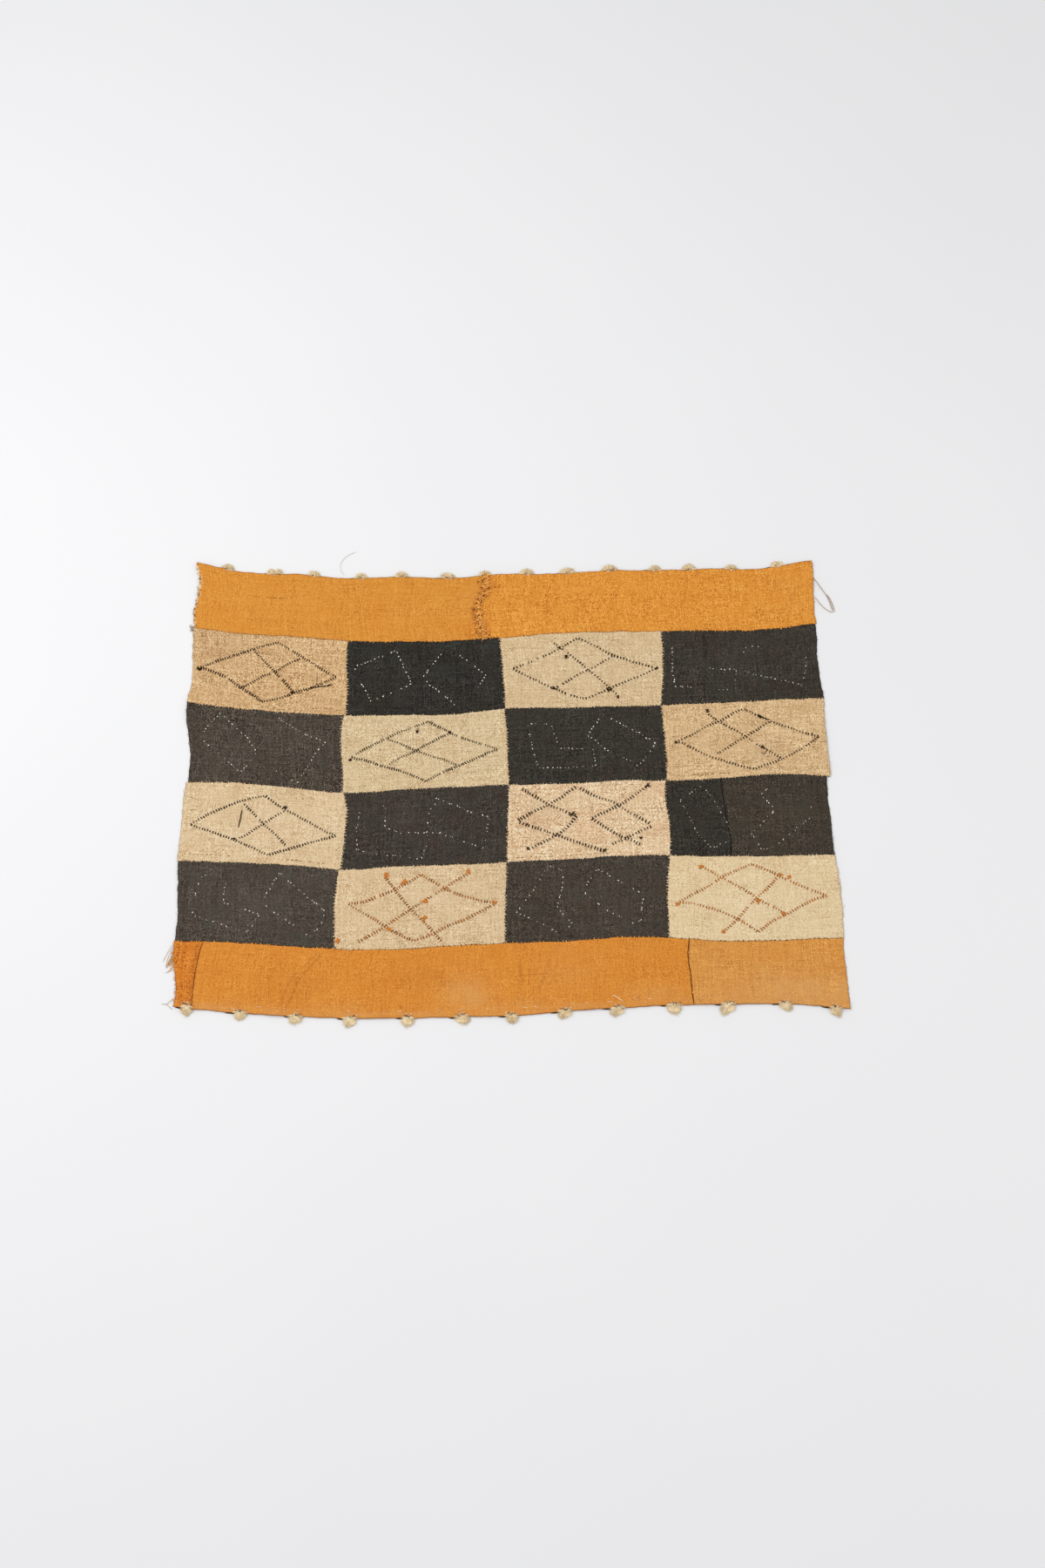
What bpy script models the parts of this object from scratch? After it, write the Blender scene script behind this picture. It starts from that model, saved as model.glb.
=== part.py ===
"""Patchwork raffia cloth, lying flat.

Four rows of four woven panels, light and dark by turns, stand between an
orange border along the far edge and one along the near edge.  Each cut
piece is its own body.  Small tufts of fibre sit along both hems.

Metres, +Z up.  Tables are in millimetres, seen from above with the far
border at +Y; the origin is the middle of the finished cloth, on the ground.
"""
import math

import bmesh
import bpy
from mathutils import Vector

MM = 0.001

# ---------------------------------------------------------------- sizes (mm)
SHEET = 1.4            # one layer of woven raffia
HEM_THICK = 2.6        # the turned-under hem, two layers pressed together
HEM_WIDTH = 13.0       # depth of the turned hem
GAP = 0.3              # clearance between neighbouring pieces
PANEL_CELLS = (12, 6)  # grid cells of a panel, across and along
BORDER_CELL = 27.0     # length of a border's grid cell
FLAT_MARGIN = 42.0     # further from a seam than this the cloth lies flat
PUCKER = 1.5           # height of the pucker along the seams
SHIFT_X = 26.431       # from the drafting frame to the finished origin
SHIFT_Y = -2.866

# ------------------------------------------------- lines across the cloth
# far hem first.  columns: x at the left end, x at the right end, then y at
# the thirteen stations that cut the line into twelve equal spans.
LINES_ACROSS = {
    "far_hem":     (-607, 541, (434, 415, 411, 403, 406, 404, 411, 413, 419, 420, 422, 424, 440)),
    "far_border":  (-606, 541, (303, 290, 285, 277, 275, 276, 283, 292, 295, 296, 297, 299, 312)),
    "rows_1_2":    (-609, 547, (156, 143, 135, 130, 131, 132, 143, 145, 147, 150, 154, 160, 164)),
    "rows_2_3":    (-597, 549, (3, 1, -8, -18, -11, -6, -2, 0, 6, 6, 10, 18, 14)),
    "rows_3_4":    (-604, 547, (-143, -145, -150, -158, -153, -149, -145, -140, -134, -132, -134, -133, -131)),
    "near_border": (-599, 554, (-285, -288, -294, -300, -300, -294, -289, -286, -279, -280, -286, -283, -280)),
    "near_hem":    (-593, 556, (-399, -409, -415, -419, -419, -417, -415, -407, -401, -396, -395, -395, -403)),
}

# ------------------------------------------------- lines along the cloth
# columns: x at the far end, at a quarter, half and three quarters of the
# way, and at the near end of the row that the line belongs to.
LINES_ALONG = {
    "far_left":    (-607, -601, -601, -607, -606),
    "far_join":    (-68, -69, -82, -78, -70),
    "far_right":   (541, 541, 540, 540, 542),
    "row1_left":   (-607, -605, -603, -602, -609),
    "row1_a":      (-320, -322, -319, -318, -319),
    "row1_b":      (-41, -39, -36, -33, -31),
    "row1_c":      (256, 257, 257, 254, 252),
    "row1_right":  (540, 541, 540, 542, 547),
    "row2_left":   (-608, -606, -599, -595, -595),
    "row2_a":      (-324, -327, -325, -321, -319),
    "row2_b":      (-31, -29, -27, -25, -24),
    "row2_c":      (252, 254, 256, 258, 257),
    "row2_right":  (547, 545, 546, 548, 549),
    "row3_left":   (-599, -602, -602, -603, -604),
    "row3_a":      (-317, -311, -312, -315, -318),
    "row3_b":      (-24, -25, -26, -27, -27),
    "row3_c":      (255, 254, 258, 261, 259),
    "row3_join":   (353, 356, 360, 366, 365),
    "row3_right":  (543, 542, 544, 545, 547),
    "row4_left":   (-603, -601, -599, -597, -599),
    "row4_a":      (-321, -325, -327, -325, -324),
    "row4_b":      (-27, -28, -29, -30, -30),
    "row4_c":      (258, 254, 252, 252, 253),
    "row4_right":  (548, 552, 554, 554, 554),
    "near_left":   (-600, -599, -594, -590, -593),
    "near_join_1": (-550, -556, -560, -561, -563),
    "near_join_2": (287, 284, 287, 289, 291),
    "near_right":  (554, 552, 554, 556, 556),
}

# ------------------------------------------------------------- cut pieces
# columns: node, far line, near line, left line, right line, cloth, hem side
PIECES = [
    ("far_border_left", "far_hem", "far_border", "far_left", "far_join", "orange", "far"),
    ("far_border_right", "far_hem", "far_border", "far_join", "far_right", "orange", "far"),
    ("panel_1_1", "far_border", "rows_1_2", "row1_left", "row1_a", "natural", None),
    ("panel_1_2", "far_border", "rows_1_2", "row1_a", "row1_b", "black", None),
    ("panel_1_3", "far_border", "rows_1_2", "row1_b", "row1_c", "natural", None),
    ("panel_1_4", "far_border", "rows_1_2", "row1_c", "row1_right", "black", None),
    ("panel_2_1", "rows_1_2", "rows_2_3", "row2_left", "row2_a", "black", None),
    ("panel_2_2", "rows_1_2", "rows_2_3", "row2_a", "row2_b", "natural", None),
    ("panel_2_3", "rows_1_2", "rows_2_3", "row2_b", "row2_c", "black", None),
    ("panel_2_4", "rows_1_2", "rows_2_3", "row2_c", "row2_right", "natural", None),
    ("panel_3_1", "rows_2_3", "rows_3_4", "row3_left", "row3_a", "natural", None),
    ("panel_3_2", "rows_2_3", "rows_3_4", "row3_a", "row3_b", "black", None),
    ("panel_3_3", "rows_2_3", "rows_3_4", "row3_b", "row3_c", "natural", None),
    ("panel_3_4_left", "rows_2_3", "rows_3_4", "row3_c", "row3_join", "black", None),
    ("panel_3_4_right", "rows_2_3", "rows_3_4", "row3_join", "row3_right", "black", None),
    ("panel_4_1", "rows_3_4", "near_border", "row4_left", "row4_a", "black", None),
    ("panel_4_2", "rows_3_4", "near_border", "row4_a", "row4_b", "natural", None),
    ("panel_4_3", "rows_3_4", "near_border", "row4_b", "row4_c", "black", None),
    ("panel_4_4", "rows_3_4", "near_border", "row4_c", "row4_right", "natural", None),
    ("near_border_end", "near_border", "near_hem", "near_left", "near_join_1", "orange", "near"),
    ("near_border_middle", "near_border", "near_hem", "near_join_1", "near_join_2", "orange", "near"),
    ("near_border_right", "near_border", "near_hem", "near_join_2", "near_right", "orange", "near"),
]

# ------------------------------------------------------------------- folds
# soft ridges in the lying cloth.  columns: start x, y, end x, y, height,
# half width
FOLDS = {
    "far_join_ridge":   (-70, 400, -75, 290, 3.2, 17),
    "panel_1_2_crease": (-124, 262, -113, 172, 3.0, 20),
    "panel_1_2_short":  (-190, 262, -190, 222, 1.8, 18),
    "panel_1_4_tuck":   (338, 292, 338, 186, 2.6, 18),
    "panel_2_1_pucker": (-601, 150, -603, 134, 2.4, 18),
    "panel_4_3_tuck":   (-14, -146, -14, -172, 2.0, 18),
    "near_end_overlap": (-555, -290, -566, -394, 2.2, 16),
    "near_diagonal":    (-345, -312, -420, -404, 2.6, 18),
    "near_upright":     (-3, -315, -6, -388, 1.6, 16),
    "far_corner_lift":  (-607, 434, -585, 424, 3.0, 24),
    "right_edge_lift":  (545, 120, 549, 30, 2.2, 20),
}

# ------------------------------------------------------------------- tufts
# columns: x along the hem, width, depth, how far the middle stands beyond
# the hem edge, height
FAR_TUFTS = [
    (-551, 24, 19, 4.0, 8.0),
    (-457, 36, 19, 3.5, 8.0),
    (-389, 24, 18, 3.5, 7.5),
    (-301, 23, 17, 4.5, 7.5),
    (-225, 24, 20, 3.0, 8.0),
    (-140, 28, 19, 3.5, 8.0),
    (-70, 25, 18, 3.5, 7.5),
    (8, 26, 20, 3.5, 8.0),
    (84, 30, 21, 3.0, 8.5),
    (163, 29, 20, 5.0, 8.5),
    (247, 22, 18, 4.5, 7.5),
    (311, 25, 21, 4.0, 9.0),
    (389, 22, 15, 3.5, 6.5),
    (476, 25, 15, 4.5, 6.5),
]
NEAR_TUFTS = [
    (-570, 25, 18, 3.5, 8.0),
    (-479, 27, 18, 3.5, 8.5),
    (-384, 28, 19, 4.0, 8.5),
    (-292, 29, 20, 5.0, 9.0),
    (-194, 27, 20, 5.0, 8.5),
    (-103, 29, 19, 4.5, 8.5),
    (-18, 27, 18, 4.5, 8.5),
    (73, 28, 18, 3.5, 8.5),
    (162, 28, 19, 4.0, 8.5),
    (257, 31, 24, 4.5, 9.0),
    (350, 31, 26, 4.5, 9.0),
    (446, 25, 20, 2.5, 8.0),
    (531, 25, 21, 3.5, 8.5),
]

# ---------------------------------------------------------------- finishes
# columns: base colour, roughness, metallic
FINISHES = {
    "orange": ((0.68, 0.28, 0.045, 1.0), 0.82, 0.0),
    "natural": ((0.60, 0.43, 0.25, 1.0), 0.85, 0.0),
    "black": ((0.050, 0.043, 0.037, 1.0), 0.88, 0.0),
    "tuft": ((0.62, 0.45, 0.24, 1.0), 0.80, 0.0),
}


def clear_scene():
    for obj in list(bpy.data.objects):
        bpy.data.objects.remove(obj, do_unlink=True)


def make_material(name):
    colour, roughness, metallic = FINISHES[name]
    mat = bpy.data.materials.new("raffia_" + name)
    mat.use_nodes = True
    shader = mat.node_tree.nodes["Principled BSDF"]
    shader.inputs["Base Color"].default_value = colour
    shader.inputs["Roughness"].default_value = roughness
    shader.inputs["Metallic"].default_value = metallic
    return mat


def spline(values, t):
    """Smooth value through equally spaced values, t from 0 to 1."""
    last = len(values) - 1
    t = min(max(t, 0.0), 1.0) * last
    i = min(int(t), last - 1)
    f = t - i
    p1, p2 = values[i], values[i + 1]
    p0 = values[i - 1] if i > 0 else 2 * p1 - p2
    p3 = values[i + 2] if i + 2 <= last else 2 * p2 - p1
    return 0.5 * (2 * p1 + (p2 - p0) * f + (2 * p0 - 5 * p1 + 4 * p2 - p3) * f * f
                  + (3 * p1 - p0 - 3 * p2 + p3) * f * f * f)


def line_y(name, x):
    left, right, ys = LINES_ACROSS[name]
    return spline(ys, (x - left) / (right - left))


def cloth_point(piece, u, v):
    """u runs from the left line to the right one, v from the near line to
    the far one; the piece is drawn in by half the gap on every side."""
    far, near, left, right = piece[1:5]
    inset = GAP / 2
    xl = spline(LINES_ALONG[left], 1 - v) + inset
    xr = spline(LINES_ALONG[right], 1 - v) - inset
    x = xl + (xr - xl) * u
    yn = line_y(near, x) + inset
    yf = line_y(far, x) - inset
    return x, yn + (yf - yn) * v


def smooth_step(t):
    t = min(max(t, 0.0), 1.0)
    return t * t * (3 - 2 * t)


def ridge(x, y, fold):
    x0, y0, x1, y1, height, half = fold
    dx, dy = x1 - x0, y1 - y0
    t = ((x - x0) * dx + (y - y0) * dy) / (dx * dx + dy * dy)
    t = min(max(t, 0.0), 1.0)
    away = math.hypot(x - x0 - t * dx, y - y0 - t * dy)
    return height * smooth_step(1 - away / (2 * half))


def pucker(x, y):
    wave = (math.sin(x / 31.0 + 1.3 * math.sin(y / 67.0))
            * math.cos(y / 43.0 + 0.9 * math.sin(x / 59.0)))
    return PUCKER * max(0.0, wave)


def cloth_height(x, y, from_seam):
    """Height of the underside above the ground."""
    near_seam = smooth_step(1 - from_seam / FLAT_MARGIN)
    h = pucker(x, y) * near_seam
    for fold in FOLDS.values():
        h = max(h, ridge(x, y, fold))
    return h


def piece_height(piece, u, v):
    x, y = cloth_point(piece, u, v)
    x0, y0 = cloth_point(piece, 0.0, v)
    x1, y1 = cloth_point(piece, 1.0, v)
    _, yn = cloth_point(piece, u, 0.0)
    _, yf = cloth_point(piece, u, 1.0)
    return cloth_height(x, y, min(x - x0, x1 - x, y - yn, yf - y))


def stations(piece):
    """Grid stations across and along one piece; a hem gets its own row."""
    hem = piece[6]
    if hem is None:
        nu, nv = PANEL_CELLS
        if "3_4_" in piece[0]:
            nu = 5 if "left" in piece[0] else 8
        return [i / nu for i in range(nu + 1)], [j / nv for j in range(nv + 1)]
    x0, _ = cloth_point(piece, 0.0, 0.5)
    x1, _ = cloth_point(piece, 1.0, 0.5)
    nu = max(2, round((x1 - x0) / BORDER_CELL))
    _, yn = cloth_point(piece, 0.5, 0.0)
    _, yf = cloth_point(piece, 0.5, 1.0)
    band = HEM_WIDTH / (yf - yn)
    rows = [0.0, band, band + 0.02, 0.40, 0.70, 1.0]
    if hem == "far":
        rows = [1 - r for r in reversed(rows)]
    return [i / nu for i in range(nu + 1)], rows


def build_sheet(piece, collection, materials):
    name, hem = piece[0], piece[6]
    us, vs = stations(piece)
    mesh = bpy.data.meshes.new(name)
    bm = bmesh.new()
    bmesh.ops.create_grid(bm, x_segments=len(us) - 1, y_segments=len(vs) - 1, size=0.5)
    top_z = {}
    for vert in bm.verts:
        i = round((vert.co.x + 0.5) * (len(us) - 1))
        j = round((vert.co.y + 0.5) * (len(vs) - 1))
        u, v = us[i], vs[j]
        x, y = cloth_point(piece, u, v)
        h = piece_height(piece, u, v)
        vert.co = Vector(((x + SHIFT_X) * MM, (y + SHIFT_Y) * MM, h * MM))
        hemmed = (hem == "far" and j >= len(vs) - 2) or (hem == "near" and j <= 1)
        thick = HEM_THICK if hemmed else SHEET
        top_z[vert.index] = (h + thick) * MM
    ordered = sorted(bm.verts, key=lambda vert: vert.index)
    heights = [top_z[vert.index] for vert in ordered]
    upper = bmesh.ops.extrude_face_region(bm, geom=list(bm.faces))
    raised = [item for item in upper["geom"] if isinstance(item, bmesh.types.BMVert)]
    by_place = {(round(vert.co.x, 7), round(vert.co.y, 7)): z
                for vert, z in zip(ordered, heights)}
    for vert in raised:
        vert.co.z = by_place[(round(vert.co.x, 7), round(vert.co.y, 7))]
    bmesh.ops.recalc_face_normals(bm, faces=list(bm.faces))
    bm.to_mesh(mesh)
    bm.free()
    mesh.materials.append(materials[piece[5]])
    obj = bpy.data.objects.new(name, mesh)
    collection.objects.link(obj)
    return obj


def piece_at(hem, x):
    for piece in PIECES:
        if piece[6] != hem:
            continue
        v = 1.0 if hem == "far" else 0.0
        if cloth_point(piece, 0.0, v)[0] <= x <= cloth_point(piece, 1.0, v)[0]:
            return piece
    return None


def hem_top(hem, x):
    """Highest point of the hem beside a place along it."""
    v = 1.0 if hem == "far" else 0.0
    best = 0.0
    for piece in PIECES:
        if piece[6] != hem:
            continue
        x0 = cloth_point(piece, 0.0, v)[0]
        x1 = cloth_point(piece, 1.0, v)[0]
        if x < x0 - 30 or x > x1 + 30:
            continue
        us, _ = stations(piece)
        band = HEM_WIDTH / 120.0
        for u in us:
            if abs(cloth_point(piece, u, v)[0] - x) < 48:
                for row in (0.0, band * 0.5, band, band + 0.02):
                    vv = 1 - row if hem == "far" else row
                    best = max(best, piece_height(piece, u, vv))
    return best + HEM_THICK


def build_tuft(name, hem, row, parts, cutters, material):
    x, width, depth, stand_off, height = row
    edge = "far_hem" if hem == "far" else "near_hem"
    side = 1.0 if hem == "far" else -1.0
    y_edge = line_y(edge, x)
    slope = (line_y(edge, x + 4) - line_y(edge, x - 4)) / 8.0

    bm = bmesh.new()
    bmesh.ops.create_uvsphere(bm, u_segments=12, v_segments=6, radius=1.0)
    bmesh.ops.scale(bm, verts=bm.verts, vec=(width / 2, depth / 2, height * 0.55))
    bmesh.ops.translate(bm, verts=bm.verts, vec=(0, side * stand_off, height * 0.45))
    bmesh.ops.bisect_plane(bm, geom=list(bm.verts) + list(bm.edges) + list(bm.faces),
                           plane_co=(0, 0, 0), plane_no=(0, 0, 1), clear_inner=True)
    open_edges = [edge_ for edge_ in bm.edges if edge_.is_boundary]
    bmesh.ops.contextual_create(bm, geom=open_edges)
    bmesh.ops.recalc_face_normals(bm, faces=list(bm.faces))
    bmesh.ops.scale(bm, verts=bm.verts, vec=(MM, MM, MM))
    mesh = bpy.data.meshes.new(name)
    bm.to_mesh(mesh)
    bm.free()
    mesh.materials.append(material)
    tuft = bpy.data.objects.new(name, mesh)
    tuft.location = ((x + SHIFT_X) * MM, (y_edge + SHIFT_Y) * MM, 0.0)
    tuft.rotation_euler = (0.0, 0.0, math.atan(slope))
    parts.objects.link(tuft)

    # the room that the hem takes under the tuft
    lift = hem_top(hem, x) + GAP
    room = bmesh.new()
    bmesh.ops.create_cube(room, size=1.0)
    bmesh.ops.scale(room, verts=room.verts, vec=(90, 60, 20))
    bow = 1.6                                 # the hem edge bows about its line
    bmesh.ops.translate(room, verts=room.verts,
                        vec=(0, side * (bow - 30), lift - 10))
    bmesh.ops.scale(room, verts=room.verts, vec=(MM, MM, MM))
    room_mesh = bpy.data.meshes.new("room_" + name)
    room.to_mesh(room_mesh)
    room.free()
    cutter = bpy.data.objects.new("room_" + name, room_mesh)
    cutter.location = tuft.location
    cutter.rotation_euler = tuft.rotation_euler
    cutter.hide_render = True
    cutter.display_type = 'WIRE'
    cutters.objects.link(cutter)

    cut = tuft.modifiers.new("hem_room", 'BOOLEAN')
    cut.operation = 'DIFFERENCE'
    cut.solver = 'EXACT'
    cut.object = cutter
    return tuft


def main():
    clear_scene()
    parts = bpy.data.collections.new("raffia_cloth")
    cutters = bpy.data.collections.new("cutters")
    bpy.context.scene.collection.children.link(parts)
    bpy.context.scene.collection.children.link(cutters)
    materials = {name: make_material(name) for name in FINISHES}

    for piece in PIECES:
        build_sheet(piece, parts, materials)
    for hem, rows in (("far", FAR_TUFTS), ("near", NEAR_TUFTS)):
        for number, row in enumerate(rows, 1):
            build_tuft("%s_tuft_%02d" % (hem, number), hem, row,
                       parts, cutters, materials["tuft"])


main()
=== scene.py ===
import math

import bpy
import numpy as np
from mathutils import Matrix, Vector


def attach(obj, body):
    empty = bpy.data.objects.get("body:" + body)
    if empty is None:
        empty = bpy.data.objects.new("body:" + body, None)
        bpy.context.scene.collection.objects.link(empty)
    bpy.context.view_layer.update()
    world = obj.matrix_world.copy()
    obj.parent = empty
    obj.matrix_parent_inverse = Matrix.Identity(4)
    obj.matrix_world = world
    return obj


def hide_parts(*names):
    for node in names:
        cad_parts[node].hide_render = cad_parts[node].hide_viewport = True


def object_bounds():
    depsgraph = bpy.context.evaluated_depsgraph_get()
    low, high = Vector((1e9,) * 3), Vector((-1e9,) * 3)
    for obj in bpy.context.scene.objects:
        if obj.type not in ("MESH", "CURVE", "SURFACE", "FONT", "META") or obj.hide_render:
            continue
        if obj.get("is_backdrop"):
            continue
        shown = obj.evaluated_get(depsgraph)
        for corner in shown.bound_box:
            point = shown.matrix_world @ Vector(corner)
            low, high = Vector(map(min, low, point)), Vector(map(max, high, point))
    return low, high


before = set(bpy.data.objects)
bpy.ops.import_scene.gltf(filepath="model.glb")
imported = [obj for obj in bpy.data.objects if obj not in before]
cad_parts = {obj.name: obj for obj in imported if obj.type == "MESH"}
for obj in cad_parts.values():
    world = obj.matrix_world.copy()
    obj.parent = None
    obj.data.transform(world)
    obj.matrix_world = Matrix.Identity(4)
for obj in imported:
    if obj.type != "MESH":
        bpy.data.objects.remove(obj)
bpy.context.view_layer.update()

# ------------------------------------------------------------------ sizes
# Tables are in millimetres in the drafting frame, seen from above, far border
# at +Y.  SHIFT takes them to the part's own frame.
MM = 0.001
SHIFT_X, SHIFT_Y = 26.431, -2.866
SHEET, HEM_THICK, HEM_WIDTH = 1.4, 2.6, 13.0
FLAT_MARGIN, PUCKER = 42.0, 1.5
CELL = 3.6                      # grid cell of the visible sheets

LINES_ACROSS = {
    "far_hem":     (-607, 541, (434, 415, 411, 403, 406, 404, 411, 413, 419, 420, 422, 424, 440)),
    "far_border":  (-606, 541, (303, 290, 285, 277, 275, 276, 283, 292, 295, 296, 297, 299, 312)),
    "rows_1_2":    (-609, 547, (156, 143, 135, 130, 131, 132, 143, 145, 147, 150, 154, 160, 164)),
    "rows_2_3":    (-597, 549, (3, 1, -8, -18, -11, -6, -2, 0, 6, 6, 10, 18, 14)),
    "rows_3_4":    (-604, 547, (-143, -145, -150, -158, -153, -149, -145, -140, -134, -132, -134, -133, -131)),
    "near_border": (-599, 554, (-285, -288, -294, -300, -300, -294, -289, -286, -279, -280, -286, -283, -280)),
    "near_hem":    (-593, 556, (-399, -409, -415, -419, -419, -417, -415, -407, -401, -396, -395, -395, -403)),
}
LINES_ALONG = {
    "far_left":    (-607, -601, -601, -607, -606),
    "far_join":    (-68, -69, -82, -78, -70),
    "far_right":   (541, 541, 540, 540, 542),
    "row1_left":   (-607, -605, -603, -602, -609),
    "row1_a":      (-320, -322, -319, -318, -319),
    "row1_b":      (-41, -39, -36, -33, -31),
    "row1_c":      (256, 257, 257, 254, 252),
    "row1_right":  (540, 541, 540, 542, 547),
    "row2_left":   (-608, -606, -599, -595, -595),
    "row2_a":      (-324, -327, -325, -321, -319),
    "row2_b":      (-31, -29, -27, -25, -24),
    "row2_c":      (252, 254, 256, 258, 257),
    "row2_right":  (547, 545, 546, 548, 549),
    "row3_left":   (-599, -602, -602, -603, -604),
    "row3_a":      (-317, -311, -312, -315, -318),
    "row3_b":      (-24, -25, -26, -27, -27),
    "row3_c":      (255, 254, 258, 261, 259),
    "row3_join":   (353, 356, 360, 366, 365),
    "row3_right":  (543, 542, 544, 545, 547),
    "row4_left":   (-603, -601, -599, -597, -599),
    "row4_a":      (-321, -325, -327, -325, -324),
    "row4_b":      (-27, -28, -29, -30, -30),
    "row4_c":      (258, 254, 252, 252, 253),
    "row4_right":  (548, 552, 554, 554, 554),
    "near_left":   (-600, -599, -594, -590, -593),
    "near_join_1": (-550, -556, -560, -561, -563),
    "near_join_2": (287, 284, 287, 289, 291),
    "near_right":  (554, 552, 554, 556, 556),
}
# node: far line, near line, left line, right line, cloth, hem side
PIECES = {
    "far_border_left": ("far_hem", "far_border", "far_left", "far_join", "orange", "far"),
    "far_border_right": ("far_hem", "far_border", "far_join", "far_right", "orange", "far"),
    "panel_1_1": ("far_border", "rows_1_2", "row1_left", "row1_a", "natural", None),
    "panel_1_2": ("far_border", "rows_1_2", "row1_a", "row1_b", "black", None),
    "panel_1_3": ("far_border", "rows_1_2", "row1_b", "row1_c", "natural", None),
    "panel_1_4": ("far_border", "rows_1_2", "row1_c", "row1_right", "black", None),
    "panel_2_1": ("rows_1_2", "rows_2_3", "row2_left", "row2_a", "black", None),
    "panel_2_2": ("rows_1_2", "rows_2_3", "row2_a", "row2_b", "natural", None),
    "panel_2_3": ("rows_1_2", "rows_2_3", "row2_b", "row2_c", "black", None),
    "panel_2_4": ("rows_1_2", "rows_2_3", "row2_c", "row2_right", "natural", None),
    "panel_3_1": ("rows_2_3", "rows_3_4", "row3_left", "row3_a", "natural", None),
    "panel_3_2": ("rows_2_3", "rows_3_4", "row3_a", "row3_b", "black", None),
    "panel_3_3": ("rows_2_3", "rows_3_4", "row3_b", "row3_c", "natural", None),
    "panel_3_4_left": ("rows_2_3", "rows_3_4", "row3_c", "row3_join", "black", None),
    "panel_3_4_right": ("rows_2_3", "rows_3_4", "row3_join", "row3_right", "black", None),
    "panel_4_1": ("rows_3_4", "near_border", "row4_left", "row4_a", "black", None),
    "panel_4_2": ("rows_3_4", "near_border", "row4_a", "row4_b", "natural", None),
    "panel_4_3": ("rows_3_4", "near_border", "row4_b", "row4_c", "black", None),
    "panel_4_4": ("rows_3_4", "near_border", "row4_c", "row4_right", "natural", None),
    "near_border_end": ("near_border", "near_hem", "near_left", "near_join_1", "orange", "near"),
    "near_border_middle": ("near_border", "near_hem", "near_join_1", "near_join_2", "orange", "near"),
    "near_border_right": ("near_border", "near_hem", "near_join_2", "near_right", "orange", "near"),
}
# the two-piece panel as one, for the stitches that cross its join
PIECES_WHOLE = dict(PIECES)
PIECES_WHOLE["panel_3_4"] = ("rows_2_3", "rows_3_4", "row3_c", "row3_right", "black", None)
FREE_EDGES = {name for name in LINES_ALONG if name.endswith(("_left", "_right"))}

# soft ridges as in the solids: start x, y, end x, y, height, half width
FOLDS = {
    "far_join_ridge":   (-70, 400, -75, 290, 3.2, 17),
    "panel_1_2_crease": (-124, 262, -113, 172, 3.0, 20),
    "panel_1_2_short":  (-190, 262, -190, 222, 1.8, 18),
    "panel_1_4_tuck":   (338, 292, 338, 186, 2.6, 18),
    "panel_2_1_pucker": (-601, 150, -603, 134, 2.4, 18),
    "panel_4_3_tuck":   (-14, -146, -14, -172, 2.0, 18),
    "near_end_overlap": (-555, -290, -566, -394, 2.2, 16),
    "near_diagonal":    (-345, -312, -420, -404, 2.6, 18),
    "near_upright":     (-3, -315, -6, -388, 1.6, 16),
    "far_corner_lift":  (-607, 434, -585, 424, 3.0, 24),
    "right_edge_lift":  (545, 120, 549, 30, 2.2, 20),
}
# sharper creases that ride on the folds: start x, y, bend x, y, end x, y,
# height (below 0 is a trough), half width
CREASES = [
    (-124, 268, -119, 205, -111, 168, -1.5, 3.0),
    (-131, 268, -126, 205, -118, 170, 1.2, 3.5),
    (-190, 268, -189, 245, -190, 222, -1.3, 3.0),
    (-175, 195, -176, 182, -176, 168, 0.9, 2.5),
    (334, 296, 336, 240, 339, 186, -1.6, 3.0),
    (342, 296, 344, 240, 346, 186, 1.2, 3.5),
    (120, -173, 116, -184, 111, -195, -0.9, 2.6),
    (-601, 154, -601, 146, -602, 134, 0.9, 4.0),
    (-14, -146, -13, -160, -14, -172, 0.8, 3.5),
    (-340, -303, -383, -354, -393, -386, -1.0, 2.6),
    (-345, -304, -389, -352, -400, -384, 1.1, 2.2),
    (-350, -305, -396, -352, -408, -384, -0.8, 2.4),
    (-393, -382, -399, -396, -410, -411, -0.8, 2.6),
    (-416, -352, -409, -378, -405, -404, -0.6, 2.4),
    (-3, -315, -4, -350, -6, -388, -0.6, 3.0),
    (-326, 376, -333, 336, -341, 292, 0.7, 2.4),
    (-330, 376, -337, 336, -345, 292, -0.5, 2.4),
    (-305, 360, -305, 390, -306, 408, 0.6, 5.0),
    (60, 400, 62, 360, 61, 300, -0.35, 4.0),
    (180, -300, 182, -350, 180, -400, 0.3, 6.0),
    (46, -318, 38, -342, 28, -368, -0.9, 2.0),
    (50, -318, 42, -342, 32, -368, 0.8, 2.0),
]

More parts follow.
